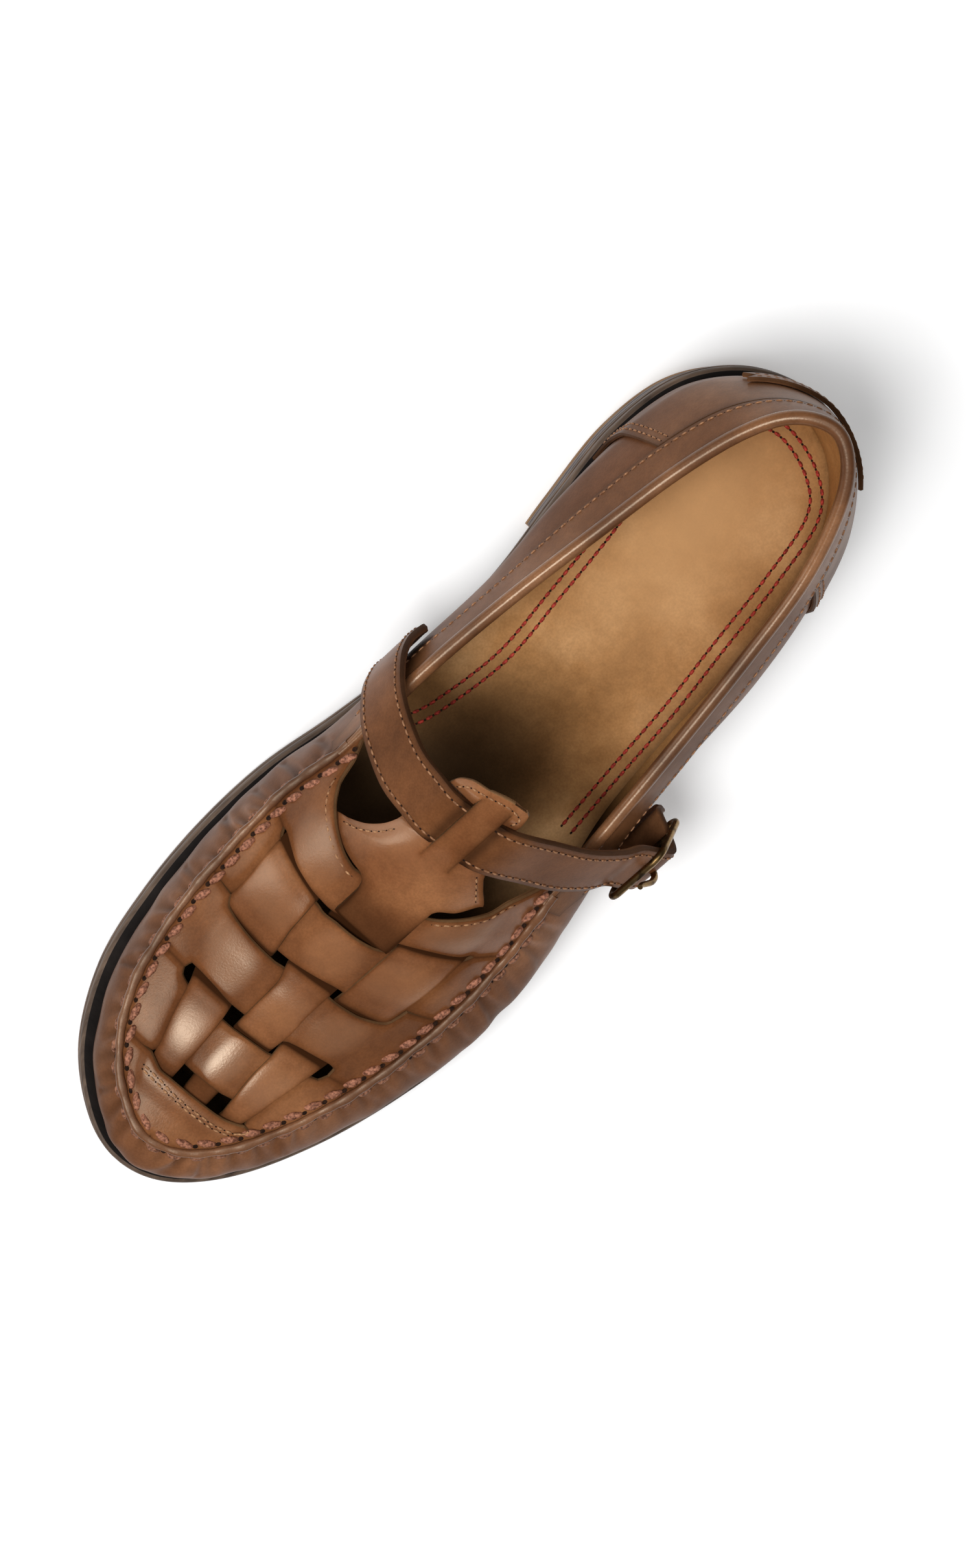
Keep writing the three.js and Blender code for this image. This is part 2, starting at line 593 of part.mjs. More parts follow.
function buckleFrame() {
  const loop = [];
  const straight = { w: BUCKLE_HALF_WIDTH - BUCKLE_CORNER, h: BUCKLE_HALF_HEIGHT - BUCKLE_CORNER };
  const quarters = [[1, 1, 0], [-1, 1, 90], [-1, -1, 180], [1, -1, 270]];
  for (const [w, h, from] of quarters) {
    for (let k = 0; k <= 4; k += 1) {
      const turn = THREE.MathUtils.degToRad(from + 22.5 * k);
      const across = w * straight.w + BUCKLE_CORNER * Math.cos(turn);
      const rise = h * straight.h + BUCKLE_CORNER * Math.sin(turn);
      loop.push(buckle(across, rise, 0));
    }
  }
  const centre = [-BUCKLE_HALF_WIDTH, BUCKLE_HALF_WIDTH].map((w) => buckle(w, 0, 0));
  return bar(loop, WIRE, 8, true).add(bar(centre, 1.1, 8, false));
}

function buckleProng() {
  const path = [
    [0.2, 2.2],
    [1.6, 4.2],
    [3.4, 5.6],
    [6, 5.2],
    [8.4, 3.6],
    [10.2, 2.6],
    [11.8, 2.4],
  ];
  return bar(path.map(([rise, outward]) => buckle(0, rise, outward)), 0.85, 8, false);
}

const LEATHER = { color: 0x7a4a2c, roughness: 0.45, metalness: 0 };
const SOLE_EDGE = { color: 0x4a3a36, roughness: 0.55, metalness: 0 };
const BRASS = { color: 0x8a7448, roughness: 0.4, metalness: 0.9 };

// Every piece, from the floor up.
const PIECES = [
  { name: "top_lift", make: topLift, look: { color: 0xb98f5e, roughness: 0.7, metalness: 0 } },
  { name: "heel_block", make: heelBlock, look: { color: 0x4b2f2a, roughness: 0.45, metalness: 0 } },
  { name: "outsole", make: outsole, look: { color: 0x7d6650, roughness: 0.6, metalness: 0 } },
  { name: "welt", make: welt, look: SOLE_EDGE },
  { name: "insole", make: insole, look: { color: 0xb5875a, roughness: 0.6, metalness: 0 } },
  { name: "upper", make: upper, look: LEATHER },
  { name: "collar_band", make: collarBand, look: LEATHER },
  { name: "heel_counter", make: heelCounter, look: LEATHER },
  { name: "back_strip", make: backStrip, look: LEATHER },
  { name: "strap", make: strap, look: LEATHER },
  { name: "buckle_frame", make: buckleFrame, look: BRASS },
  { name: "buckle_prong", make: buckleProng, look: BRASS },
];

const shoe = new THREE.Group();
for (const piece of PIECES) {
  const made = piece.make().getMesh();
  const geometry = new THREE.BufferGeometry();
  geometry.setAttribute("position", new THREE.BufferAttribute(made.vertProperties, 3));
  geometry.setIndex(new THREE.BufferAttribute(made.triVerts, 1));
  geometry.computeVertexNormals();
  const mesh = new THREE.Mesh(geometry, new THREE.MeshStandardMaterial(piece.look));
  mesh.name = piece.name;
  mesh.position.set(-ORIGIN_X, -ORIGIN_Y, 0);
  shoe.add(mesh);
}

export default shoe;
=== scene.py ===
import math

import bpy
import numpy as np
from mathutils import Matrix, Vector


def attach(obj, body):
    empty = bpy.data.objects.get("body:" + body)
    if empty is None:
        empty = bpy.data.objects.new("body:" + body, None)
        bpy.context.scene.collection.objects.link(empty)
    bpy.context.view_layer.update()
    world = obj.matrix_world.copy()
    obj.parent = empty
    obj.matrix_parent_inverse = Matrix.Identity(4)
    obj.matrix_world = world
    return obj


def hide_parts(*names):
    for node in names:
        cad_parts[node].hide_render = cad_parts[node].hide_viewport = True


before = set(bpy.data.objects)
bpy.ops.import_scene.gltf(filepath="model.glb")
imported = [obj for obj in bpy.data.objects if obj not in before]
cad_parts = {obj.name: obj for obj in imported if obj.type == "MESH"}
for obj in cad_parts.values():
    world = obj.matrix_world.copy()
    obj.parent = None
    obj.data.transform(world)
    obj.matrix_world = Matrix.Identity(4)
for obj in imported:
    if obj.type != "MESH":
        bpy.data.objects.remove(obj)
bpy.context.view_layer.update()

# Heel: a tan top lift nailed under a stack of leather lifts, which are glued, trimmed to the sole's
# edge and stained dark red-brown. The breast at its front is cut square across the foot.
ORIGIN = np.array([131.55, 5.2, 0.0])  # the frame's origin, in mm from the back of the heel
HEEL_LENGTH = 73.0
HEEL_INSET = 0.6
HEEL_STEPS = 48  # points along each side of a heel layer
# Side of the top lift and foot of the stack from below: inset, height.
LIFT_SIDE = [(1.3, 0), (0.85, 0.35), (0.7, 1.2), (0.7, 3.4), (1.05, 4.3), (1.5, 4.5)]
STACK_FOOT = [(1.3, 4.7), (HEEL_INSET + 0.2, 5.0)]
STACK_TOP = [(HEEL_INSET, 0.7), (1.2, 0.3)]  # inset, gap under the sole
LIFT_JOINTS = (8.3, 12.0)  # heights of the joints between the lifts
JOINT_GROOVE = [(0.1, -0.35), (0.45, 0), (0.1, 0.35)]  # inset, height from the joint
# The sole's edge from the back of the heel along the outer side to the toe and back: x, y.
SOLE_EDGE = np.array([
    (0, 0), (5.2, 17.2), (20, 29.8), (41, 33.6), (65, 33.8), (90, 34), (115, 36.4),
    (137, 42.4), (158, 48.4), (181, 49.8), (204, 45.4), (226.6, 37.5), (246.3, 26.3), (258.9, 13.3),
    (263.1, 0), (259.6, -12.7), (247.7, -26.6), (228.7, -36.1), (207.7, -39.7), (186, -40.5),
    (164.3, -38.7), (142, -33.7), (117, -29.6), (91, -28.9), (65, -31.6), (41, -33.2), (20.4, -29),
    (5.8, -16.8),
])
ROUND = len(SOLE_EDGE)
TOE = ROUND // 2
# Side profile of the sole: x, top, underside.
SOLE = np.array([
    (-2, 24.3, 16.3), (30, 23.9, 16.2), (58, 22.5, 15.6), (76, 21.2, 14.4), (88, 19.4, 12.2),
    (98, 17.2, 9.8), (108, 14.8, 7.2), (118, 12.7, 5), (128, 10.9, 3.1), (138, 9.7, 1.7),
    (148, 9.1, 0.6), (156, 8.9, 0), (186, 8.9, 0), (206, 9.9, 1.1), (225, 12.1, 3.1),
    (243, 16.2, 6.9), (253, 19.3, 10.4), (264, 23.2, 15),
])


def ease(t):
    """A soft step from 0 to 1."""
    t = np.clip(t, 0, 1)
    return t * t * (3 - 2 * t)


def mix(a, b, t):
    return a + (b - a) * t


def profile(table, x, column=1):
    """A column of a table read at x, by a cubic that never overshoots its rows."""
    xs, ys = table[:, 0], table[:, column]
    rise = np.diff(ys) / np.diff(xs)
    before, after = rise[:-1], rise[1:]
    both = before * after
    inner = np.where(both > 0, 2 * both / np.where(before + after == 0, 1, before + after), 0)
    slope = np.concatenate([rise[:1], inner, rise[-1:]])
    i = np.clip(np.searchsorted(xs, x) - 1, 0, len(xs) - 2)
    step = xs[i + 1] - xs[i]
    t = np.clip((x - xs[i]) / step, 0, 1)
    bend = ys[i] * (1 + 2 * t) * (1 - t) ** 2 + ys[i + 1] * t * t * (3 - 2 * t)
    return bend + step * (slope[i] * t * (1 - t) ** 2 + slope[i + 1] * t * t * (t - 1))


def round_foot(column, s):
    """A column of values round the foot at station s, through every row."""
    i = np.floor(s).astype(int)
    t = s - i
    a, b, c, d = (column[(i + k) % ROUND] for k in (-1, 0, 1, 2))
    return b + 0.5 * t * (c - a + t * (2 * a - 5 * b + 4 * c - d + t * (3 * (b - c) + d - a)))


def sole_edge(s, out):
    """The sole's edge at stations s, moved outward."""
    ex, ey = SOLE_EDGE[:, 0], SOLE_EDGE[:, 1]
    dx = round_foot(ex, s + 0.01) - round_foot(ex, s - 0.01)
    dy = round_foot(ey, s + 0.01) - round_foot(ey, s - 0.01)
    run = np.hypot(dx, dy)
    return round_foot(ex, s) - out * dy / run, round_foot(ey, s) + out * dx / run


def sole_top(x):
    return profile(SOLE, x)


def sole_under(x):
    return profile(SOLE, x, 2)


def grid_faces(rows, columns, first=0):
    """Quads of a grid of points that are stored row by row."""
    i, j = np.meshgrid(np.arange(rows - 1), np.arange(columns - 1), indexing="ij")
    a = (i * columns + j + first).ravel()
    return np.stack([a, a + columns, a + columns + 1, a + 1], 1)


def place(name, node, points, faces, finishes, finish_of=None, shade=None, crisp=40):
    """A mesh in shoe millimetres as a piece that rides on the shoe and stands for one of its solids."""
    mesh = bpy.data.meshes.new(name)
    metres = (np.asarray(points, float) - ORIGIN) / 1000
    mesh.from_pydata(metres.tolist(), [], [list(map(int, f)) for f in faces])
    for finish in finishes:
        mesh.materials.append(finish)
    if finish_of is not None:
        mesh.polygons.foreach_set("material_index", np.asarray(finish_of, np.int32))
    mesh.polygons.foreach_set("use_smooth", np.ones(len(mesh.polygons), bool))
    if shade is not None:
        tone = mesh.attributes.new("shade", "FLOAT", "POINT")
        tone.data.foreach_set("value", np.asarray(shade, np.float32))
    mesh.set_sharp_from_angle(angle=math.radians(crisp))
    mesh.update()
    piece = bpy.data.objects.new(name, mesh)
    bpy.context.scene.collection.objects.link(piece)
    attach(piece, "root")
    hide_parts(node)
    return piece


def layers(levels, front_x, steps, square_front=False):
    """Points and faces of a plate with the sole's outline: levels are (inset, height at x) from below."""
    across, edge_points, tip = 8, 1600, 0.02
    turn = math.pi / 2 if square_front else math.pi
    share = (1 - np.cos(turn * np.arange(steps + 1) / steps)) / (1 - math.cos(turn))
    points, faces = [], []
    for inset, height in levels:
        sides = []
        for start in (0, ROUND):
            x, y = sole_edge(np.linspace(start, TOE, edge_points), -inset)
            xs = mix(max(0, x[0]) + tip, min(front_x, x[-1] - tip), share)
            sides.append(np.stack([xs, np.interp(xs, x, y), height(xs)], 1))
        points.append(np.concatenate([sides[0], sides[1][::-1]]))
    ring = len(points[0])
    i = np.arange(ring)
    n = (i + 1) % ring
    for k in range(len(levels) - 1):
        low, high = k * ring, (k + 1) * ring
        faces += np.stack([i + high, n + high, n + low, i + low], 1).tolist()
    count = len(levels) * ring
    for k, turned in ((0, False), (len(levels) - 1, True)):
        outer = points[k][: steps + 1]
        inner = points[k][steps + 1:][::-1]
        ids = np.zeros((steps + 1, across + 1), int)
        ids[:, 0] = k * ring + np.arange(steps + 1)
        ids[:, across] = k * ring + 2 * steps + 1 - np.arange(steps + 1)
        for j in range(1, across):
            points.append(mix(outer, inner, j / across))
            ids[:, j] = count + np.arange(steps + 1)
            count += steps + 1
        quads = np.stack([ids[:-1, :-1], ids[1:, :-1], ids[1:, 1:], ids[:-1, 1:]], -1).reshape(-1, 4)
        faces += (quads[:, ::-1] if turned else quads).tolist()
    return np.concatenate(points), faces


def tint(red, green, blue):
    """A paint-chart colour, 0 to 255, as a shader colour."""
    parts = (np.array([red, green, blue]) / 255 + 0.055) / 1.055
    return (*(parts ** 2.4).tolist(), 1.0)


def feed(tree, node, inputs):
    """Sets a node's inputs, each from a value or from another node's socket."""
    for key, value in inputs.items():
        if isinstance(value, bpy.types.NodeSocket):
            tree.links.new(value, node.inputs[key])
        else:
            node.inputs[key].default_value = value


def new_node(tree, kind, inputs, **settings):
    node = tree.nodes.new("ShaderNode" + kind)
    for key, value in settings.items():
        setattr(node, key, value)
    feed(tree, node, inputs)
    return node


def new_finish(name, gloss):
    """An empty finish: its node tree and its shader."""
    finish = bpy.data.materials.new(name)
    finish.use_nodes = True
    tree = finish.node_tree
    shader = tree.nodes["Principled BSDF"]
    shader.inputs["Roughness"].default_value = gloss
    return finish, tree, shader


def mottle(tree, size, detail=3.0, stretch=(1, 1, 1)):
    """Soft blotches about size millimetres across, fixed in the shoe."""
    where = new_node(tree, "TexCoord", {}).outputs["Object"]
    spread = new_node(tree, "Mapping", {"Vector": where, "Scale": stretch}).outputs["Vector"]
    blotch = {"Vector": spread, "Scale": 1000 / size, "Detail": detail}
    return new_node(tree, "TexNoise", blotch).outputs["Fac"]


def tones(tree, amount, stops):
    """A blend of colours or greys by amount: stops are (position, colour)."""
    ramp = new_node(tree, "ValToRGB", {"Fac": amount})
    bands = ramp.color_ramp.elements
    while len(bands) < len(stops):
        bands.new(0.5)
    for band, (position, colour) in zip(bands, stops):
        band.position = position
        band.color = colour
    return ramp.outputs["Color"]


def grey(value):
    return (value, value, value, 1.0)


def blend_colour(tree, amount, first, second, kind="MIX"):
    """Two colours, sockets or values, blended by an amount that may be a socket too."""
    inputs = {0: amount, 6: first, 7: second}
    return new_node(tree, "Mix", inputs, data_type="RGBA", blend_type=kind).outputs[2]


def relief(tree, shader, *heights):
    """Bump from (height socket, depth in mm), one laid over another."""
    over = {}
    for height, depth in heights:
        bump = {"Strength": 1.0, "Distance": depth / 1000, "Height": height, **over}
        over = {"Normal": new_node(tree, "Bump", bump).outputs["Normal"]}
    feed(tree, shader, over)


def stained_edge(name, dark, light, gloss):
    """A trimmed, stained and waxed leather edge with streaks along its layers."""
    dark, light = tint(*dark), tint(*light)
    finish, tree, shader = new_finish(name, gloss)
    grain = mottle(tree, 2.2, 5, (0.25, 0.25, 3))
    colour = tones(tree, grain, [(0.3, dark), (0.72, light)])
    scuff = tones(tree, mottle(tree, 14, 6), [(0.45, grey(0.72)), (0.7, grey(1.12))])
    feed(tree, shader, {
        "Base Color": blend_colour(tree, 0.8, colour, scuff, "MULTIPLY"),
        "Roughness": tones(tree, grain, [(0.2, grey(gloss + 0.12)), (0.8, grey(gloss - 0.08))]),
        "Specular IOR Level": 0.2,
    })
    relief(tree, shader, (grain, 0.12), (mottle(tree, 0.8, 3), 0.05))
    return finish


def level(height):
    return lambda x: np.full_like(x, height)


def below_sole(gap):
    return lambda x: sole_under(x) - gap


lift_rubber = stained_edge("tan_top_lift", (120, 86, 54), (166, 128, 86), 0.6)
lift = [(inset, level(height)) for inset, height in LIFT_SIDE]
points, faces = layers(lift, HEEL_LENGTH, HEEL_STEPS, square_front=True)
place("heel_top_lift", "top_lift", points, faces, [lift_rubber])

heel_stain = stained_edge("heel_stain", (40, 24, 21), (76, 48, 40), 0.42)
stack = [(inset, level(height)) for inset, height in STACK_FOOT]
for joint in LIFT_JOINTS:
    for inset, step in JOINT_GROOVE:
        stack.append((HEEL_INSET + inset, level(joint + step)))
stack += [(inset, below_sole(gap)) for inset, gap in STACK_TOP]
points, faces = layers(stack, HEEL_LENGTH, HEEL_STEPS, square_front=True)
place("heel_stack", "heel_block", points, faces, [heel_stain])

# Sole: a thin leather outsole under a stained welt, stitched and glued through and trimmed together.
# A fine groove shows between the two layers, and both edges are rounded over and waxed.
WELT = 3.7
GROOVE = 0.25  # between welt and outsole
SOLE_LENGTH = SOLE_EDGE[TOE, 0]
SOLE_STEPS = 150
# Rounding of each layer's edge: inset, share of the layer's height.
OUTSOLE_ROUND = [(1.6, 0.0), (0.6, 0.1), (0.1, 0.3), (0.0, 0.55), (0.1, 0.85), (0.7, 1.0)]
WELT_ROUND = [
    (0.9, 0), (0.3, 0.08), (0.2, 0.3), (0.2, 0.66), (0.45, 0.86), (0.8, 0.96), (1.3, 1), (3.2, 1),
]


def welt_low(x):
    return sole_top(x) - WELT


def outsole_top(x):
    return welt_low(x) - GROOVE


def between(low, high, share):
    return lambda x: mix(low(x), high(x), share)


def sole_layer(low, high, rounding):
    """Points and faces of one layer of the sole, with its rounded edge."""
    levels = [(inset, between(low, high, share)) for inset, share in rounding]
    return layers(levels, SOLE_LENGTH, SOLE_STEPS)


outsole_edge = stained_edge("outsole_edge", (70, 54, 44), (118, 94, 76), 0.5)
points, faces = sole_layer(sole_under, outsole_top, OUTSOLE_ROUND)
place("leather_outsole", "outsole", points, faces, [outsole_edge])

welt_edge = stained_edge("welt_edge", (64, 50, 41), (112, 92, 76), 0.5)
# The welt's top is near black, partly its own dark stain and partly painted shadow of the crevice at the
# wall.
welt_top_stain_and_shade = stained_edge("welt_top_stain_and_shade", (14, 9, 7), (26, 18, 14), 0.75)
points, faces = sole_layer(welt_low, sole_top, WELT_ROUND)
on_top = [all(points[v, 2] > sole_top(points[v, 0]) - 0.05 for v in f) for f in faces]
place("sole_welt", "welt", points, faces, [welt_edge, welt_top_stain_and_shade], on_top)

# Insole: a full sock of tan leather over a thin pad, dished a little under the foot, with painted shade
# where the upper and the strap shade it towards the toes. Two close rows of red thread run round its heel
# seat, and the heel is paler, partly rubbed and partly painted light.
SOCK = 2.2  # leather and pad
SOCK_GAP = 0.3  # over the sole
SOCK_SNUG = 0.3  # how far its edge presses into the lining
EDGE_TURN_UP, DISH = 1.3, 0.5
SOCK_ROWS, SOCK_COLUMNS = 170, 30
SOCK_STITCH = (2.4, 1.9, 0.44, 0.32)  # pitch, length, thickness of the thread, size of a hole
WALL = 1.8  # leather of the upper's wall with its lining
# How far the wall's foot lies inside the sole edge, and its belly outside it, round the foot.
WALL_FOOT = np.array([
    5, 5.6, 5.8, 4.6, 3, 3, 3, 3.8, 4.6, 5, 5, 5, 5, 5,
    5, 5.4, 6, 5.6, 4.8, 4.6, 4.4, 3.8, 2, 2, 2.6, 3.4, 4, 4.6,
])
WALL_BELLY = np.array([
    -4.6, -5.4, -5.2, -1.8, 1.8, 2.6, 1.8, 0.6, -1.6, -2.8, -2.9, -2.9, -2.6, -2.4,
    -2.4, -3.2, -3.3, -3, -2.4, -1.6, -0.6, 0.4, 3.4, 2.7, 1.2, -1.8, -2.8, -4,
])


def sock_height(x, y, low, high):
    """Top of the insole: dished, with its edge turned up a little against the wall."""
    b = 2 * (y - low) / np.maximum(high - low, 1) - 1
    return sole_top(x) + SOCK_GAP + SOCK + EDGE_TURN_UP * np.abs(b) ** 4 - DISH * (1 - b * b)


def leather_solid(points, quads, thick, bulge=0.25, inside=(131, 3, 30), burn=1.1, wear=None):
    """A cut piece of leather from its face: its back, its rounded cut edge and its darker rim.

    Its last argument shades each point of the face, both with wear and with painted light and painted
    shade, and burn is how far the dark rim reaches. Gives points, faces, each face's place (0 face, 1 back,
    2 cut edge) and each point's shade."""
    rim_dark = 0.6
    points = np.round(points, 4)
    points, first_of, place_of = np.unique(points, axis=0, return_index=True, return_inverse=True)
    quads = place_of.ravel()[quads]
    faces = []
    for quad in quads.tolist():
        ring = [a for k, a in enumerate(quad) if a != quad[k - 1]]
        if len(set(ring)) > 2:
            faces.append(ring)
    first, second, third, last = (points[[f[k] for f in faces]] for k in (0, 1, 2, -1))
    normal = np.cross(second - last, third - first)
    if np.sum(normal * (first - np.array(inside))) < 0:
        faces = [f[::-1] for f in faces]
        normal = -normal
    out = np.zeros_like(points)
    for corner in range(4):
        np.add.at(out, [f[min(corner, len(f) - 1)] for f in faces], normal)
    out /= np.maximum(np.linalg.norm(out, axis=1, keepdims=True), 1e-9)
    edges = {(f[k - 1], f[k]) for f in faces for k in range(len(f))}
    rim = [(a, b) for a, b in edges if (b, a) not in edges]
    aside = np.zeros_like(points)
    for a, b in rim:
        way = np.cross(points[b] - points[a], out[a])
        aside[a] += way
        aside[b] += way
    aside /= np.maximum(np.linalg.norm(aside, axis=1, keepdims=True), 1e-9)
    count = len(points)
    on_rim = sorted({a for pair in rim for a in pair})
    middle = {a: 2 * count + k for k, a in enumerate(on_rim)}
    made = [points, points - out * thick]
    if on_rim:
        made.append(points[on_rim] - out[on_rim] * thick / 2 + aside[on_rim] * bulge)
    made = np.concatenate(made)
    kind = [0] * len(faces) + [1] * len(faces) + [2] * (2 * len(rim))
    all_faces = faces + [[a + count for a in f[::-1]] for f in faces]
    all_faces += [[b, a, middle[a], middle[b]] for a, b in rim]
    all_faces += [[middle[b], middle[a], a + count, b + count] for a, b in rim]
    shade = np.zeros(len(made))
    if on_rim and burn:
        reach = np.full(count, 1e9)
        for chunk in np.array_split(np.array(on_rim), max(1, len(on_rim) // 200)):
            gap = np.linalg.norm(points[:, None, :] - points[chunk][None, :, :], axis=2)
            reach = np.minimum(reach, gap.min(1))
        shade[:count] = -rim_dark * np.exp(-reach / burn)
        shade[2 * count:] = -rim_dark
    if wear is not None:
        shade[:count] += np.ravel(wear)[first_of]
    return made, all_faces, kind, shade


def leather(name, body, deep, worn_and_lit, gloss=0.3, burnish_and_painted_shade=None, shine=0.7, polish=0.0):
    """Dyed and waxed leather: blotched colour, fine grain, lighter or darker by its shade, which holds wear
    and burnished edges and also painted light and painted shade.

    polish makes places of high shade glossier than the rest, and places of low shade duller."""
    wax, grain, wrinkle = (1.0, 0.84, 0.65, 1.0), 0.03, 0.03
    body, deep, worn_and_lit = tint(*body), tint(*deep), tint(*worn_and_lit)
    finish, tree, shader = new_finish(name, gloss)
    patch = mottle(tree, 26, 5)
    colour = tones(tree, patch, [(0.32, deep), (0.5, body), (0.72, worn_and_lit)])
    fleck = tones(tree, mottle(tree, 2.6, 4), [(0.35, grey(0.86)), (0.65, grey(1.06))])
    pores = tones(tree, mottle(tree, 0.6, 2), [(0.35, grey(0.84)), (0.65, grey(1.1))])
    for marks in (fleck, pores):
        colour = blend_colour(tree, 0.6, colour, marks, "MULTIPLY")
    shade = new_node(tree, "Attribute", {}, attribute_name="shade").outputs["Fac"]
    darker = new_node(tree, "Math", {0: shade, 1: -1.0}, operation="MULTIPLY", use_clamp=True)
    # Low shade blends to this colour, for burnished edges and for painted shade.
    burnish_and_painted_shade = tint(*burnish_and_painted_shade) if burnish_and_painted_shade else (*(0.3 * c for c in deep[:3]), 1.0)
    colour = blend_colour(tree, darker.outputs[0], colour, burnish_and_painted_shade)
    # High shade blends to the pale colour, for wear and for painted light.
    lighter = new_node(tree, "Clamp", {"Value": shade})
    colour = blend_colour(tree, lighter.outputs[0], colour, worn_and_lit)
    if polish:
        rubbed_up = new_node(tree, "Math", {0: shade, 1: polish, 2: shine}, operation="MULTIPLY_ADD")
        shine = new_node(tree, "Clamp", {"Value": rubbed_up.outputs[0], "Max": 2.0}).outputs[0]
    feed(tree, shader, {
        "Base Color": colour,
        "Roughness": tones(tree, patch, [(0.3, grey(gloss + 0.08)), (0.7, grey(gloss - 0.06))]),
        "Specular IOR Level": shine,
        "Specular Tint": wax,
    })
    relief(tree, shader, (mottle(tree, 7, 4, (1, 1.7, 1.2)), wrinkle), (mottle(tree, 0.55, 2), grain))
    return finish


s_line = np.linspace(0, ROUND, 3200)
sock_inset = round_foot(WALL_FOOT, s_line) + WALL - SOCK_SNUG
sock_inset -= 0.38 * np.clip(round_foot(WALL_FOOT + WALL_BELLY, s_line), 0, 5)
sock_x, sock_y = sole_edge(s_line, -sock_inset)
half = s_line <= TOE
spread = (1 - np.cos(np.pi * np.linspace(0, 1, SOCK_ROWS))) / 2
sock_xs = mix(sock_x[half][0] + 0.05, sock_x[half][-1] - 0.05, spread)
sock_high = np.interp(sock_xs, sock_x[half], sock_y[half])
sock_low = np.interp(sock_xs, sock_x[~half][::-1], sock_y[~half][::-1])
sock_ys = mix(sock_low[:, None], sock_high[:, None], np.linspace(0, 1, SOCK_COLUMNS)[None, :])
grid_x = np.repeat(sock_xs[:, None], SOCK_COLUMNS, 1)
grid_z = sock_height(grid_x, sock_ys, sock_low[:, None], sock_high[:, None])
face = np.stack([grid_x, sock_ys, grid_z], -1).reshape(-1, 3)
made, faces, kind, shade = leather_solid(
    face, grid_faces(SOCK_ROWS, SOCK_COLUMNS), SOCK, 0.1, inside=(131, 0, -60), burn=2.5)
# Painted shade: the insole darkens towards the toes, where the upper and the strap shade it.
FOREFOOT_SHADE, FOREFOOT_SHADE_FROM, FOREFOOT_SHADE_OVER = 0.94, 84, 48
# The heel is paler, partly rubbed and partly painted light.
HEEL_RUB_AND_LIGHT, HEEL_RUB_AND_LIGHT_X, HEEL_RUB_AND_LIGHT_LONG, HEEL_RUB_AND_LIGHT_WIDE = 0.75, 44, 34, 19
dim = FOREFOOT_SHADE * ease((made[:, 0] - FOREFOOT_SHADE_FROM - 0.045 * (made[:, 1] + 1) ** 2) / FOREFOOT_SHADE_OVER)
along, across = (made[:, 0] - HEEL_RUB_AND_LIGHT_X) / HEEL_RUB_AND_LIGHT_LONG, (made[:, 1] + 2) / HEEL_RUB_AND_LIGHT_WIDE
pale_and_painted_light = np.exp(-along ** 2 - across ** 2)
shade = np.where(dim > 0.03, np.minimum(shade, -dim), shade + HEEL_RUB_AND_LIGHT * pale_and_painted_light)
# Its darkest colour is the colour of that painted shade towards the toes.
tan_sock = leather("tan_sock_leather", (164, 118, 72), (134, 92, 52), (196, 151, 103), 0.55,
                   burnish_and_painted_shade=(38, 23, 9), shine=0.08)
place("leather_insole", "insole", made, faces, [tan_sock], shade=shade)


def read_along(run, table, at):
    return np.stack([np.interp(at, run, table[:, k]) for k in range(table.shape[1])], 1)


def unit(vectors):
    return vectors / np.maximum(np.linalg.norm(vectors, axis=-1, keepdims=True), 1e-9)


def tube_faces(rings, sides, loop=False):
    """Faces of a tube of rings of points, closed at both ends unless it is a loop."""
    i, k = np.meshgrid(np.arange(rings if loop else rings - 1), np.arange(sides), indexing="ij")
    n, m = (i + 1) % rings, (k + 1) % sides
    corners = [i * sides + k, i * sides + m, n * sides + m, n * sides + k]
    faces = np.stack(corners, -1).reshape(-1, 4).tolist()
    if not loop:
        faces += [list(range(sides))[::-1], list(range((rings - 1) * sides, rings * sides))]
    return faces


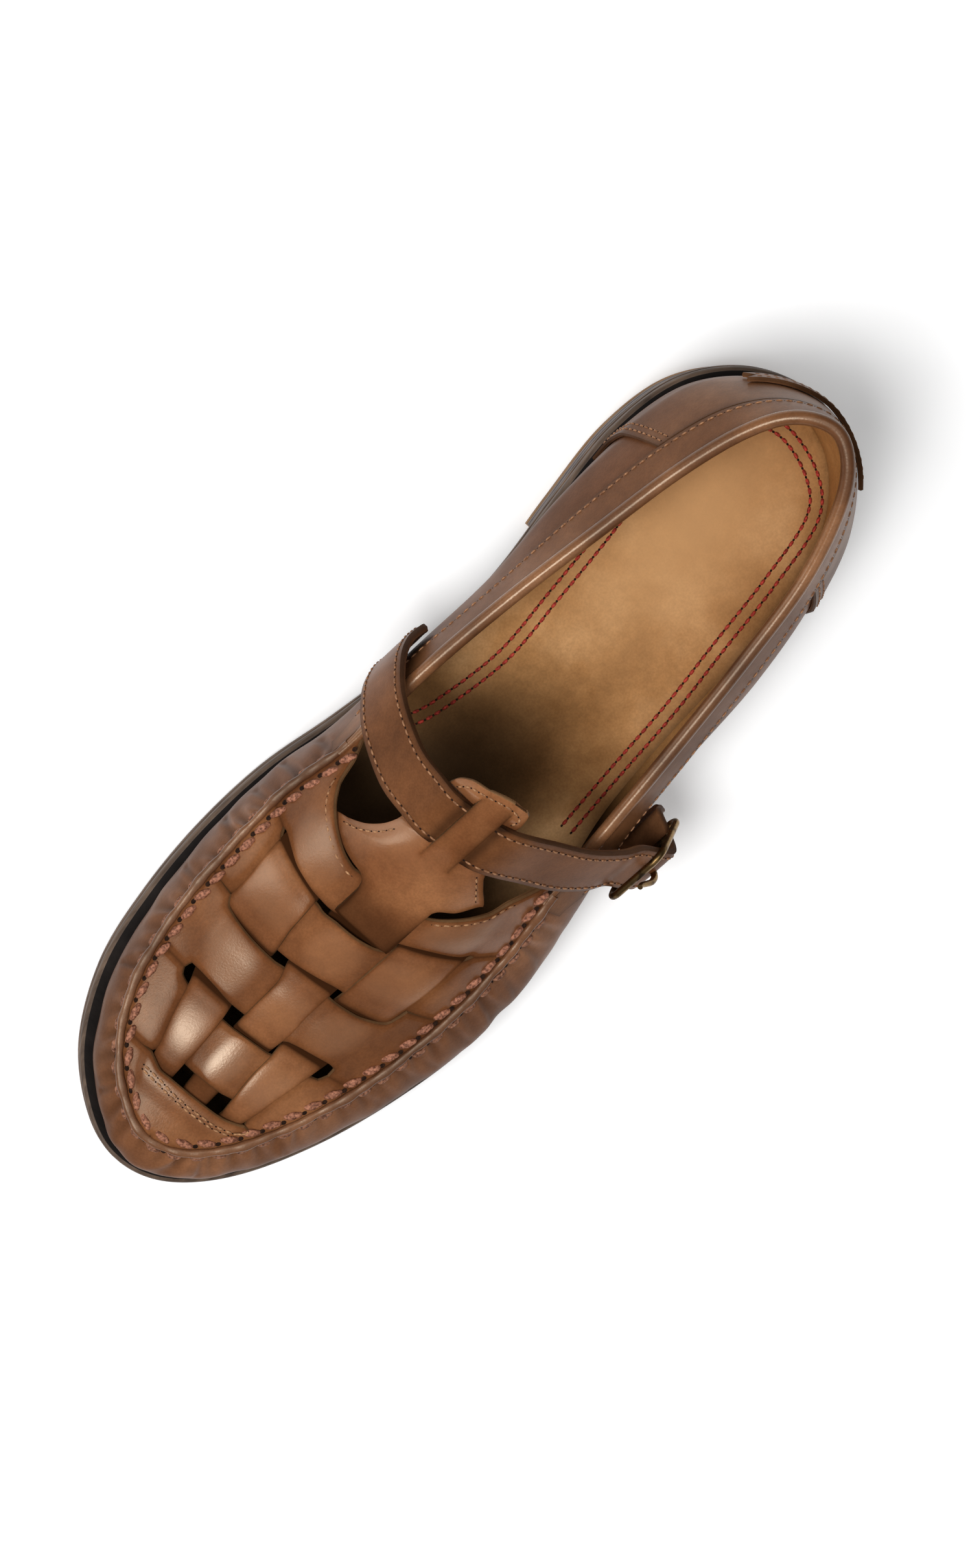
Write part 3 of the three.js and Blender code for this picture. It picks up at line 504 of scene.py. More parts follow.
def stitches(name, node, path, out, size, thread, slant=0.0, twist=0.0, hole_aside=0.0, bow=0.0,
             uneven=0.0):
    """A row of stitches along a path: short arched threads on the leather that faces out.

    size is pitch, length, thickness and needle hole. The holes between the stitches lie hole_aside mm off
    the path. A stitch bends sideways by bow mm, and its slant varies by uneven."""
    pitch, length, thick, hole_size = size
    run = np.concatenate([[0], np.cumsum(np.linalg.norm(np.diff(path, axis=0), axis=1))])
    count = max(1, int(run[-1] / pitch))
    at = (np.arange(count) + 0.5) * run[-1] / count
    up_table = np.broadcast_to(np.asarray(out, float), path.shape)

    def axes(where):
        ahead = unit(read_along(run, path, where + 0.4) - read_along(run, path, where - 0.4))
        up = unit(read_along(run, up_table, where))
        return read_along(run, path, where), ahead, up, unit(np.cross(ahead, up))

    centre, ahead, up, side = axes(at)
    ahead = unit(ahead + (slant + np.random.default_rng(count).normal(0, uneven, (count, 1))) * side)
    side = unit(np.cross(ahead, up))
    rings, sides = (15, 12) if twist else (7, 7)
    turns = 2 * np.pi * np.arange(sides) / sides
    points = []
    for along in np.linspace(-0.5, 0.5, rings):
        girth = thick * math.sqrt(max(0.04, 1 - abs(2 * along) ** 3))
        for turn in turns:
            reach = girth * (1 + twist * math.cos(2 * turn + 11 * along))
            lift = math.sin(turn) * reach * 0.85 + thick * (0.4 - 8 * along ** 4)
            aside = math.cos(turn) * reach + bow * (1 - 4 * along * along)
            points.append(centre + ahead * (along * length) + side * aside + up * lift)
    points = np.stack(points, 1)
    tube = tube_faces(rings, sides)
    faces = [[v + n * rings * sides for v in f] for n in range(count) for f in tube]
    place(name, node, points.reshape(-1, 3), faces, [thread], crisp=80)
    centre, ahead, up, side = axes((np.arange(count + 1)) * run[-1] / count)
    sides = 9
    dome = [(1.0, 0.02), (0.55, 0.1)]  # share of the hole's size, rise
    points = []
    for share, rise in dome:
        for turn in 2 * np.pi * np.arange(sides) / sides:
            flat = ahead * (1.25 * math.cos(turn)) + side * math.sin(turn)
            points.append(centre + side * hole_aside + flat * (share * hole_size) + up * rise)
    points = np.stack(points, 1)
    cap = [[k, (k + 1) % sides, sides + (k + 1) % sides, sides + k] for k in range(sides)]
    cap += [list(range(sides, 2 * sides)), list(range(sides))[::-1]]
    faces = [[v + n * 2 * sides for v in f] for n in range(count + 1) for f in cap]
    # The holes are dark discs on the surface: painted shade.
    place(name + "_holes", node, points.reshape(-1, 3), faces, [needle_hole_shade], crisp=80)


def thread_finish(name, light, dark, gloss=0.55):
    """Waxed twisted thread, with its twist as fine relief."""
    light, dark = tint(*light), tint(*dark)
    finish, tree, shader = new_finish(name, gloss)
    twist = mottle(tree, 0.7, 3)
    colour = tones(tree, twist, [(0.35, dark), (0.65, light)])
    feed(tree, shader, {"Base Color": colour, "Specular IOR Level": 0.1})
    relief(tree, shader, (twist, 0.1))
    return finish


def smooth_route(rows, steps):
    """A smooth line of points through a short given list."""
    rows = np.array(rows, float)
    last = len(rows) - 1
    k = np.linspace(0, last, steps)
    i = np.minimum(np.floor(k).astype(int), last - 1)
    t = (k - i)[:, None]
    a, b, c, d = (rows[np.clip(i + n, 0, last)] for n in (-1, 0, 1, 2))
    return b + 0.5 * t * (c - a + t * (2 * a - 5 * b + 4 * c - d + t * (3 * (b - c) + d - a)))


red_thread = thread_finish("red_thread", (186, 66, 54), (110, 34, 28))
# The needle holes are near-black discs: painted shade standing for the shade inside the holes.
needle_hole_shade = thread_finish("needle_hole_shade", (44, 27, 18), (24, 14, 9), 0.9)
SOCK_ROW = [
    (131, -21.4), (123, -18.3), (103, -15.1), (83, -16.4), (65, -17.6), (44, -19.2), (27, -17.4),
    (16, -11.4), (11.4, 0), (15, 13.6), (24, 21.7), (44, 24.8), (64, 26.4), (84, 28.2), (104, 29.4),
    (124, 30.8),
]
for row_name, inset in (("inner", 3.0), ("outer", 0.0)):
    line = smooth_route(SOCK_ROW, 400)
    way = unit(np.gradient(line, axis=0))
    line = line + inset * np.stack([way[:, 1], -way[:, 0]], 1)
    edges = [np.interp(line[:, 0], sock_xs, side) for side in (sock_low, sock_high)]
    path = np.column_stack([line, sock_height(line[:, 0], line[:, 1], *edges)])
    stitches(f"insole_stitches_{row_name}", "insole", path, (0, 0, 1), SOCK_STITCH, red_thread)

# Upper: one wall of brown leather drawn over the last, tan-lined, from the sole to the top edge. The
# hand-sewn seam gathers it into short folds round the toe, and wear has creased it at the ball.
BELLY_SHARE = 0.38
SEAM_END = 7.0
SEAM_PITCH = 5.6
WALL_RISE = 27  # height of the wall at the forefoot
WALL_GAP = 0.3  # between the sole and the foot of the wall
GATHER_DEPTH, GATHER_REACH, GATHER_LEAN = (0.4, 1.0), (4.0, 11.0), (-0.22, 0.22)
SLACK = 0.22  # of the wall between its folds
LOW_WALL_SHADE = 0.88  # painted shade at the wall's foot, which reaches higher on the inner side
BACK_STEPS, SEWN_STEPS = 85, 785
# The wall's top edge x, y, z at each station.
WALL_TOP = np.array([
    (9.6, 0, 84.6), (14.2, 8.6, 83.4), (25, 15.4, 79.4), (42, 21.2, 73.3),
    (65, 24.6, 67), (90, 27.2, 61.4), (116, 29.6, 55), (140, 31.6, 48.8),
    (159, 34.4, 43.2), (179, 34.9, 38.8), (201, 32.2, 35.8), (221.5, 26.2, 35),
    (238.5, 17.8, 35.1), (248.6, 8.8, 35.4), (252, -0.6, 35.6), (249, -10, 35.4),
    (240, -20.8, 35.1), (225, -29, 35), (206, -33.1, 35.6), (185, -34.4, 38),
    (165, -34.2, 41.6), (146.5, -31.4, 47.2), (120, -30.8, 54), (92, -28, 60.8),
    (65.5, -24, 67), (42, -20.2, 73.3), (24.6, -15.6, 79.4), (14, -9.4, 83.4),
])
# Creases of wear: station, upper and lower end as shares of the height, lean, width in stations, depth.
CREASES = [
    (7.7, 0.97, 0.52, 0.25, 0.07, 0.3), (8.15, 0.99, 0.5, 0.22, 0.06, 0.4),
    (8.6, 0.98, 0.56, 0.12, 0.05, 0.3), (9.05, 0.98, 0.5, -0.08, 0.06, 0.4),
    (9.55, 0.97, 0.56, -0.16, 0.05, 0.3), (10.2, 0.97, 0.6, 0.1, 0.05, 0.3),
    (11.4, 0.98, 0.55, -0.05, 0.05, 0.35), (12.6, 0.98, 0.5, -0.06, 0.06, 0.35),
    (15.4, 0.98, 0.5, 0.05, 0.06, 0.35), (17.2, 0.98, 0.5, -0.07, 0.05, 0.4),
    (18.5, 0.98, 0.45, 0.1, 0.05, 0.5), (19.2, 0.98, 0.38, 0.14, 0.06, 0.65),
    (19.8, 0.98, 0.44, -0.1, 0.05, 0.5), (20.3, 0.97, 0.34, -0.18, 0.06, 0.65),
    (20.8, 0.96, 0.46, -0.25, 0.06, 0.5),
]


def top_edge(s):
    return np.stack([round_foot(WALL_TOP[:, k], s) for k in range(3)], -1)


def wall_face(s, t):
    """Outer face of the wall: t runs from the sole to the top edge."""
    foot_x, foot_y = sole_edge(s, -round_foot(WALL_FOOT, s))
    belly_x, belly_y = sole_edge(s, round_foot(WALL_BELLY, s))
    top = top_edge(s)
    low = t < BELLY_SHARE
    share = np.where(low, 1 - t / BELLY_SHARE, (t - BELLY_SHARE) / (1 - BELLY_SHARE))
    from_back = np.minimum(s % ROUND, ROUND - s % ROUND)
    pull = share ** np.where(low, 2, mix(1.25, 2, ease((from_back - 4) / 3)))
    x = mix(belly_x, np.where(low, foot_x, top[..., 0]), pull)
    y = mix(belly_y, np.where(low, foot_y, top[..., 1]), pull)
    return np.stack([x, y, mix(sole_top(foot_x) + WALL_GAP, top[..., 2], t)], -1)


def wall_out(s, t):
    """Outward direction of the wall, which lies level at the sole."""
    around = wall_face(s + 0.02, t) - wall_face(s - 0.02, t)
    up = wall_face(s, np.minimum(1, t + 0.01)) - wall_face(s, np.maximum(0, t - 0.01))
    out = np.cross(up, around)
    out[..., 2] *= ease(t / 0.2)
    return unit(out)


def wall(s, t, out):
    s, t = np.broadcast_arrays(np.asarray(s, float), np.asarray(t, float))
    return wall_face(s, t) + wall_out(s, t) * np.asarray(out)[..., None]


seam_s = np.linspace(TOE - SEAM_END, TOE + SEAM_END, 2001)
seam_run = np.concatenate([[0], np.cumsum(np.linalg.norm(np.diff(top_edge(seam_s), axis=0), axis=1))])
seam_count = int(seam_run[-1] / SEAM_PITCH)
seam_step = seam_run[-1] / seam_count


def sewn(s):
    """1 along the hand-sewn seam, 0 behind its ends."""
    return ease((s - TOE + SEAM_END) / 0.3) * ease((TOE + SEAM_END - s) / 0.3)


def gathers(s, t):
    """Height in mm of the folds that the seam's stitches draw into the wall, each a little different."""
    chance = np.random.default_rng(11)
    depth = chance.uniform(*GATHER_DEPTH, seam_count)
    reach = chance.uniform(*GATHER_REACH, seam_count)
    lean = chance.uniform(*GATHER_LEAN, seam_count)
    run = np.interp(s, seam_s, seam_run)
    down = (1 - t) * WALL_RISE
    folds = np.zeros(np.broadcast(s, t).shape)
    for k in range(seam_count):
        across = (run - (k + 0.5) * seam_step - lean[k] * down) / (0.75 + 0.11 * down)
        fold = 0.6 * np.exp(-((np.abs(across) - 1.9) / 0.9) ** 2) - np.exp(-across ** 2)
        folds += depth[k] * fold * np.exp(-((down / reach[k]) ** 1.5))
    return folds * sewn(s)


def worn_creases(s, t):
    """Height of the creases of wear, in mm."""
    folds = np.zeros(np.broadcast(s, t).shape)
    for station, upper_end, lower_end, lean, width, depth in CREASES:
        across = (s - station - lean * (upper_end - t)) / width
        along = ease((t - lower_end) / 0.14) * ease((upper_end + 0.06 - t) / 0.06)
        folds += depth * along * (0.5 * np.exp(-((np.abs(across) - 1.6) ** 2)) - np.exp(-across ** 2))
    return folds


s_all = np.concatenate([
    np.linspace(0, TOE - SEAM_END, BACK_STEPS)[:-1],
    np.linspace(TOE - SEAM_END, TOE + SEAM_END, SEWN_STEPS)[:-1],
    np.linspace(TOE + SEAM_END, ROUND, BACK_STEPS),
])[:, None]
t_all = np.concatenate([np.linspace(0, 0.12, 6)[:-1], np.linspace(0.12, 1, 40)])[None, :]
s_all, t_all = np.broadcast_arrays(s_all, t_all)
slack = SLACK * np.sin(7.3 * s_all + 4 * t_all) * np.sin(6 * t_all + 1.7 * s_all)
slack = slack * ease((t_all - 0.1) / 0.3)
folds = gathers(s_all, t_all) + worn_creases(s_all, t_all)
skin = wall(s_all, t_all, folds + slack * sewn(s_all))
# The folds' hollows are darker, painted shade, and their crowns a little paler with wear.
made, faces, kind, shade = leather_solid(
    skin.reshape(-1, 3), grid_faces(*s_all.shape), WALL, 0.2, burn=0, wear=0.5 * np.clip(folds, -0.9, 0.2))
brown = leather("brown_leather", (111, 71, 46), (97, 61, 39), (136, 92, 63), 0.4, shine=0.05)
# The lining's darkest colour is that of the painted shade inside the forefoot.
tan_lining = leather("tan_lining", (190, 138, 84), (168, 116, 66), (208, 156, 100), 0.55,
                     burnish_and_painted_shade=(36, 22, 10), shine=0.08)
# The raw edge and the backs of the woven pieces are dark for the shade they lie in: painted shade.
raw_edge_in_shade = leather("raw_edge_in_shade", (84, 56, 36), (60, 38, 24), (116, 80, 54), 0.65, shine=0.08)
# Painted shade at the foot of the wall, reaching higher on the inner side.
above = made[:, 2] - sole_top(made[:, 0])
low_wall_shade_reach = 3.5 + 15 * ease(-made[:, 1] / 22)
shade = shade - LOW_WALL_SHADE * np.exp(-np.maximum(above, 0) / low_wall_shade_reach)
# Painted shade: the lining darkens inside the forefoot.
lining = np.unique([v for f, k in zip(faces, kind) if k == 1 for v in f])
shade[lining] -= ease((made[lining, 0] - FOREFOOT_SHADE_FROM) / 50)
place("upper_wall", "upper", made, faces, [brown, tan_lining, raw_edge_in_shade], kind, shade, crisp=60)

# Apron: the top of the forefoot, one piece of brown leather slit across into four bands. Three long
# strips are woven through the bands and tucked under the stitched edge of the toe cap.
WOVEN = 0.9  # how far a strip rides above or below the apron's own face
THIN = 1.3  # leather of the apron and the strips
MM_A_STATION = 18.0
LAST_BAND = 3
CAP_RISE = 0.75  # of the toe cap's rear edge over the strips
EDGE_CURL, CURL_RISE, PILLOW_RISE = 0.9, 0.12, 0.5  # of a band between its two slits
WORN, TUCKED_SHADE = 0.3, 0.5  # paler where a piece stands up and is worn, painted shade where it goes under
CAP_STITCH = (2.3, 1.6, 0.33, 0.22)
THROAT_STITCH = (2.3, 1.6, 0.27, 0.23)
# The ridge's x at each station from the toe.
APRON_RIDGE = np.array([251.5, 250, 240.5, 225, 207, 189.5, 176, 166.5])
# Profile of the instep: x, height of its ridge, size of its curve across.
INSTEP = np.array([
    (118, 94.5, 28), (131, 85.4, 30), (139, 80.4, 31), (149, 74.2, 34), (156, 69.6, 41), (165, 63.8, 54),
    (174, 58.8, 66), (183, 53.8, 80), (193, 48.3, 105), (203, 43.4, 140), (213, 40.4, 165),
    (232, 38.3, 190), (254, 37, 160),
])
# The slits from the toe back: share of the width, front edge, rear edge in stations from the toe.
SLITS = [
    [(-0.60, 2.33, 2.33), (-0.55, 2.29, 2.42), (-0.38, 2.19, 2.5), (-0.22, 2.2, 2.55), (-0.05, 2.2, 2.54),
     (0.27, 2.2, 2.54), (0.43, 2.2, 2.57), (0.548, 2.21, 2.5), (0.735, 2.28, 2.4), (0.78, 2.31, 2.31)],
    [(-0.72, 3.62, 3.62), (-0.69, 3.52, 3.73), (-0.6, 3.47, 3.735), (-0.44, 3.44, 3.72),
     (-0.23, 3.42, 3.68), (-0.1, 3.415, 3.68), (-0.05, 3.42, 3.6), (0.2, 3.43, 3.6), (0.265, 3.43, 3.7),
     (0.305, 3.44, 3.74), (0.45, 3.46, 3.77), (0.647, 3.48, 3.78), (0.735, 3.5, 3.75), (0.76, 3.62, 3.62)],
    [(-0.8, 4.7, 4.7), (-0.775, 4.62, 4.76), (-0.75, 4.58, 4.74), (-0.66, 4.55, 4.7), (-0.54, 4.53, 4.68),
     (-0.375, 4.52, 4.68), (-0.25, 4.52, 4.69), (-0.172, 4.54, 4.7), (-0.04, 4.58, 4.73), (0.09, 4.6, 4.76),
     (0.2, 4.6, 4.78), (0.242, 4.58, 4.78), (0.343, 4.56, 4.74), (0.478, 4.55, 4.73), (0.603, 4.58, 4.76),
     (0.688, 4.63, 4.8), (0.71, 4.7, 4.91), (0.73, 4.9, 4.9)],
    [(-0.86, 5.82, 5.82), (-0.82, 5.72, 5.84), (-0.732, 5.66, 5.81), (-0.595, 5.65, 5.76),
     (-0.44, 5.65, 5.76), (-0.33, 5.66, 5.78), (-0.267, 5.64, 5.79), (-0.13, 5.68, 5.84),
     (0.01, 5.68, 5.86), (0.175, 5.7, 5.9), (0.265, 5.77, 6.0), (0.3, 5.85, 6.04), (0.492, 5.95, 6.09),
     (0.705, 5.93, 6.06), (0.762, 5.97, 6.1), (0.8, 6.06, 6.06)],
]
# Throat edge of the apron: share of the width, stations from the toe.
THROAT = np.array([
    (-1, 7.25), (-0.925, 7.11), (-0.88, 6.87), (-0.787, 6.74), (-0.667, 6.69), (-0.52, 6.68),
    (-0.372, 6.73), (-0.287, 6.83), (0.333, 6.86), (0.528, 6.91), (0.69, 6.99), (0.778, 7.2), (1, 7.3),
])
# Edges of the three long strips: stations from the toe, share of the width.
STRIP_EDGES = {
    "inner_low": [(2, -0.552), (2.31, -0.552), (2.57, -0.542), (3.03, -0.568), (3.52, -0.607), (4, -0.69),
                  (4.68, -0.795), (4.96, -0.79), (5.49, -0.812), (6.3, -0.82)],
    "inner_high": [(2.21, -0.225), (2.57, -0.21), (3.02, -0.2), (3.39, -0.208), (3.68, -0.23),
                   (4.69, -0.295), (5.06, -0.338), (5.64, -0.35), (6.3, -0.36)],
    "middle_low": [(2.19, -0.045), (2.51, -0.055), (3.43, -0.09), (3.7, -0.1), (4.29, -0.11),
                   (4.7, -0.177), (5, -0.2)],
    "middle_high": [(2.2, 0.295), (2.55, 0.268), (3.43, 0.265), (3.76, 0.265), (4.18, 0.232),
                    (4.61, 0.225), (5, 0.23)],
    "outer_low": [(2.29, 0.48), (2.57, 0.415), (3.07, 0.333), (3.43, 0.305), (3.74, 0.275), (4.73, 0.278),
                  (5.25, 0.282), (5.9, 0.295), (6.3, 0.3)],
    "outer_high": [(2.3, 0.735), (2.67, 0.698), (2.96, 0.665), (3.53, 0.66), (4.6, 0.69), (4.9, 0.7),
                   (6.1, 0.76), (6.4, 0.77)],
}


def instep(x, y):
    return profile(INSTEP, x) - y * y / profile(INSTEP, x, 2)


def apron(u, b, lift):
    """The apron's face: u runs from the toe to the throat in stations, b across from -1 to 1."""
    u, b, lift = np.broadcast_arrays(np.asarray(u, float), np.asarray(b, float), np.asarray(lift, float))
    outer, inner = top_edge(TOE - u), top_edge(TOE + u)
    ridge = np.interp(u, np.arange(8), APRON_RIDGE)
    middle = (outer[..., 0] + inner[..., 0]) / 2
    x = ridge + (outer[..., 0] - inner[..., 0]) / 2 * b + (middle - ridge) * b * b
    y = mix(inner[..., 1], outer[..., 1], (b + 1) / 2)
    side = np.where((b > 0)[..., None], outer, inner)
    meet = (side[..., 2] - instep(side[..., 0], side[..., 1])) * b ** 4
    return np.stack([x, y, instep(x, y) + meet + lift], -1)


def strip_edge(name, u):
    return profile(np.array(STRIP_EDGES[name]), u)


def within(b, low, high, soft=0.12):
    """1 between two edges and 0 outside, with soft steps."""
    return 0.5 * (np.tanh((b - low) / soft) - np.tanh((b - high) / soft))


def cap_lift(u, b):
    """How far the toe cap stands up over the strips that are tucked under its rear edge."""
    return CAP_RISE * ease((u - 1.45) / 0.6) * within(b, -0.66, 0.82, 0.05)


def band_lift(row, u, b):
    """How far a cross band stands up: over the middle strip in even rows, over the others in odd ones."""
    wider = 0.04 if row == LAST_BAND else 0.0
    sides = within(b, strip_edge("inner_low", u), strip_edge("inner_high", u))
    sides = sides + within(b, strip_edge("outer_low", u), strip_edge("outer_high", u))
    middle = within(b, strip_edge("middle_low", u) - wider, strip_edge("middle_high", u) + wider)
    return WOVEN * (sides - middle if row % 2 else middle - sides)


def slit(row, b):
    """Front and rear edge of one slit of the apron, in stations."""
    rows = np.array(SLITS[row])
    return profile(rows, b), profile(rows, b, 2)


def sheet(name, node, grids, thick, finishes, crisp=40, **solid):
    """A piece of leather from one or more grids of points on its face."""
    quads, count = [], 0
    for grid in grids:
        quads.append(grid_faces(*grid.shape[:2], count))
        count += grid[..., 0].size
    points = np.concatenate([grid.reshape(-1, 3) for grid in grids])
    made, faces, kind, shade = leather_solid(points, np.concatenate(quads), thick, **solid)
    place(name, node, made, faces, finishes, kind, shade, crisp)


slit_ends = [rows[k][0] for rows in SLITS for k in (0, -1)]
slit_knots = [b + k for b in slit_ends for k in (-0.006, 0, 0.006)]
b_line = np.unique(np.concatenate([np.linspace(-1, 1, 151), slit_knots]))
front = np.full_like(b_line, 0.03)
patches, wears = [], []
for row in range(-1, LAST_BAND + 1):
    if row < LAST_BAND:
        rear, next_front = slit(row + 1, b_line)
    else:
        rear = profile(THROAT, b_line)
    steps = 46 if row < 0 else 30
    share = np.linspace(0, 1, steps)[:, None]
    u = mix(front[None, :], rear[None, :], share)
    from_rear = (rear[None, :] - u) * MM_A_STATION
    from_front = (u - front[None, :]) * MM_A_STATION
    if row < 0:
        lift = cap_lift(u, b_line[None, :]) * (1 + 0.35 * np.exp(-from_rear / EDGE_CURL))
    else:
        lift = band_lift(row, u, b_line[None, :])
        curl = np.exp(-np.minimum(from_front, from_rear) / EDGE_CURL)
        pillow = PILLOW_RISE * (1 - (2 * share - 1) ** 2) - 0.1
        lift = lift + (CURL_RISE * curl + pillow) * (0.5 + 0.5 * np.tanh(lift / 0.45))
    patches.append(apron(u, b_line[None, :], lift))
    # Painted shade where a band goes under; paler where it stands up and is worn.
    dipped_shade = TUCKED_SHADE * (ease(-lift / WOVEN) + ease((-lift - 0.45) / 0.4))
    wears.append((WORN * ease((lift - 0.5) / 0.7) - dipped_shade).ravel())
    front = next_front
apron_brown = leather("apron_leather", (115, 71, 42), (93, 55, 32), (144, 95, 60), shine=0.22, polish=2.5)
slit_edge = leather("slit_edge", (132, 94, 60), (100, 68, 42), (156, 116, 78), 0.6, shine=0.2)
apron_finishes = [apron_brown, raw_edge_in_shade, slit_edge]
sheet("woven_apron", "upper", patches, THIN, apron_finishes, burn=0.7, wear=np.concatenate(wears))


def strip(name, edges, from_u, to_u, over):
    """A long strip of the weave: over gives the stretches where it rides on top."""
    steps_a_station, columns = 40, 25
    first_rise, arch = 0.35, 1.7
    u = np.linspace(from_u, to_u, int((to_u - from_u) * steps_a_station))[:, None]
    share = np.linspace(0, 1, columns)[None, :]
    b = mix(strip_edge(edges + "_low", u), strip_edge(edges + "_high", u), share)
    lift = -WOVEN * np.ones_like(u)
    for start, stop in over:
        along = np.clip((u - start) / (stop - start), 0, 1)
        on_top = ease((u - start + 0.1) / 0.2) * ease((stop + 0.1 - u) / 0.2)
        lift = lift + on_top * (first_rise + arch * np.sin(np.pi * along))
    crown = 0.4 * (1 - np.abs(2 * share - 1) ** 3) - 0.25
    behind_cap = ease((u - 2.5) / 0.3)
    # Painted shade where the strip goes under a band, darkest behind the toe cap only.
    under = TUCKED_SHADE * ease((0.3 - lift) / 0.9) + 0.9 * ease((-0.05 - lift) / 0.5) * behind_cap
    wear = np.broadcast_to(WORN * ease((lift - 0.4) / 0.7) - under, b.shape)
    sheet(name, "upper", [apron(u, b, lift + crown)], THIN, strip_finishes, burn=0.6, wear=wear)


strip_brown = leather("strip_leather", (117, 72, 43), (95, 57, 33), (148, 98, 62), shine=0.26, polish=1.5)
strip_finishes = [strip_brown, raw_edge_in_shade, slit_edge]
strip("long_strip_inner", "inner", 2.0, 6.3, [(2.24, 3.71), (4.52, 5.78)])
strip("long_strip_outer", "outer", 2.0, 6.3, [(2.24, 3.76), (4.55, 6.06)])
strip("long_strip_middle", "middle", 2.0, 5.0, [(3.42, 4.74)])

edge_thread = thread_finish("edge_thread", (178, 134, 96), (120, 82, 56))
CAP_ROW = [
    (2.09, -0.617), (2.085, -0.46), (2.08, -0.307), (2.05, -0.1), (2.04, 0.127), (2.045, 0.36),
    (2.05, 0.565), (2.12, 0.79),
]
for row_name, ahead in (("rear", 0.0), ("front", 0.075)):
    line = smooth_route(CAP_ROW, 200)
    u, b = line[:, 0] - ahead, line[:, 1]
    path = apron(u, b, cap_lift(u, b) + 0.02)
    stitches(f"toe_cap_stitches_{row_name}", "upper", path, (0, 0, 1), CAP_STITCH, edge_thread)
for row_name, from_b, to_b, inset in (("inner", -0.9, -0.33, 2.7), ("outer", 0.37, 0.8, 1.7)):
    b = np.linspace(from_b, to_b, 160)
    u = profile(THROAT, b) - inset / MM_A_STATION
    path = apron(u, b, band_lift(LAST_BAND, u, b) + 0.02)
    stitches(f"throat_stitches_{row_name}", "upper", path, (0.2, 0, 1), THROAT_STITCH, edge_thread)

# T-bar: the middle strip widens behind the last band into a smooth panel with two short wings, and a
# slit tongue that the strap runs through. Two layers glued back to back and stitched near the edge.
SLIT_INNER, SLIT_OUTER = -3.7, 4.3
UNDER_STRAP, OVER_STRAP = -2.0, 1.25
STRAP_FRONT, STRAP_REAR = 149.8, 135.6  # x of the strap's two edges at the middle of the T-bar
TBAR_RISE, ARCH_RISE, INNER_DROP, OUTER_DROP = 0.95, 1.0, 1.9, 0.9
FRONT_DIVE, STRAP_DIP, EDGE_ROLL, ROLL_WIDE = 3.0, 1.0, 0.065, 5
TBAR_THICK = 1.5
TBAR_STITCH = (2.2, 1.5, 0.27, 0.23)
# Its two edges from the tip to the front end: x, y.
TBAR_INNER = np.array([
    (128.9, 6.4), (129.4, 2.2), (131.1, -4.1), (132, -8.4), (134.4, -11), (140, -11.3), (149, -12.4),
    (152.9, -13.6), (156.8, -16.6), (158.9, -20.4), (159.7, -23.4), (162.9, -20.4), (165.4, -15.6),
    (166.3, -12.8), (166.9, -9.9), (168.6, -8), (171, -7.4), (182, -7.4),
])
TBAR_OUTER = np.array([
    (128.9, 6.8), (129.3, 7.5), (131.6, 8.1), (134, 8.4), (140, 9.6), (147.4, 12.1), (150.1, 14.9),
    (152.9, 18.2), (153.4, 17.6), (158.6, 14.1), (161.6, 10.4), (163, 9.8), (182, 9.6),
])
TBAR_TIP, TBAR_FRONT = TBAR_INNER[0, 0], TBAR_INNER[-1, 0]


def tbar_height(x, y, step):
    """Face of the T-bar: under the strap at its sides, over it in the middle, wings against the throat."""
    front_x, rear_x = STRAP_FRONT - 0.16 * y, STRAP_REAR - 0.14 * y
    crossing = np.where(step > 0, ease((front_x + 3 - x) / 7), ease((front_x - 0.6 - x) / 2.8))
    wing_drop = np.where(y < 0, INNER_DROP, OUTER_DROP) * ease((np.abs(y) - 9) / 11)
    body = TBAR_RISE + ARCH_RISE * ease((166 - x) / 14) - wing_drop
    front_dive = FRONT_DIVE * ease((x - TBAR_FRONT + 5.6) / 3.6)
    dip = STRAP_DIP * ease((front_x + 9 - x) / 9) * ease((-y - 3) / 7)
    from_edge = 0.7 * (y - profile(TBAR_INNER, x))
    rolled_edge = EDGE_ROLL * np.clip(ROLL_WIDE - from_edge, 0, ROLL_WIDE) ** 2
    rolled_edge = rolled_edge * ease((x - 145) / 4) * ease((163 - x) / 3)
    step = mix(step, OVER_STRAP, ease((rear_x + 0.6 - x) / 3.2))
    return instep(x, y) + body + step * crossing - (front_dive + dip + rolled_edge)


tbar_x = np.concatenate([np.linspace(TBAR_TIP, TBAR_FRONT, 130), TBAR_INNER[:, 0], TBAR_OUTER[:, 0]])
tbar_x = np.unique(tbar_x)[:, None]
outer_edge = profile(TBAR_OUTER, tbar_x)
inner_edge = profile(TBAR_INNER, tbar_x)
split = [np.clip(np.full_like(tbar_x, y), inner_edge, outer_edge) for y in (SLIT_INNER, SLIT_OUTER)]
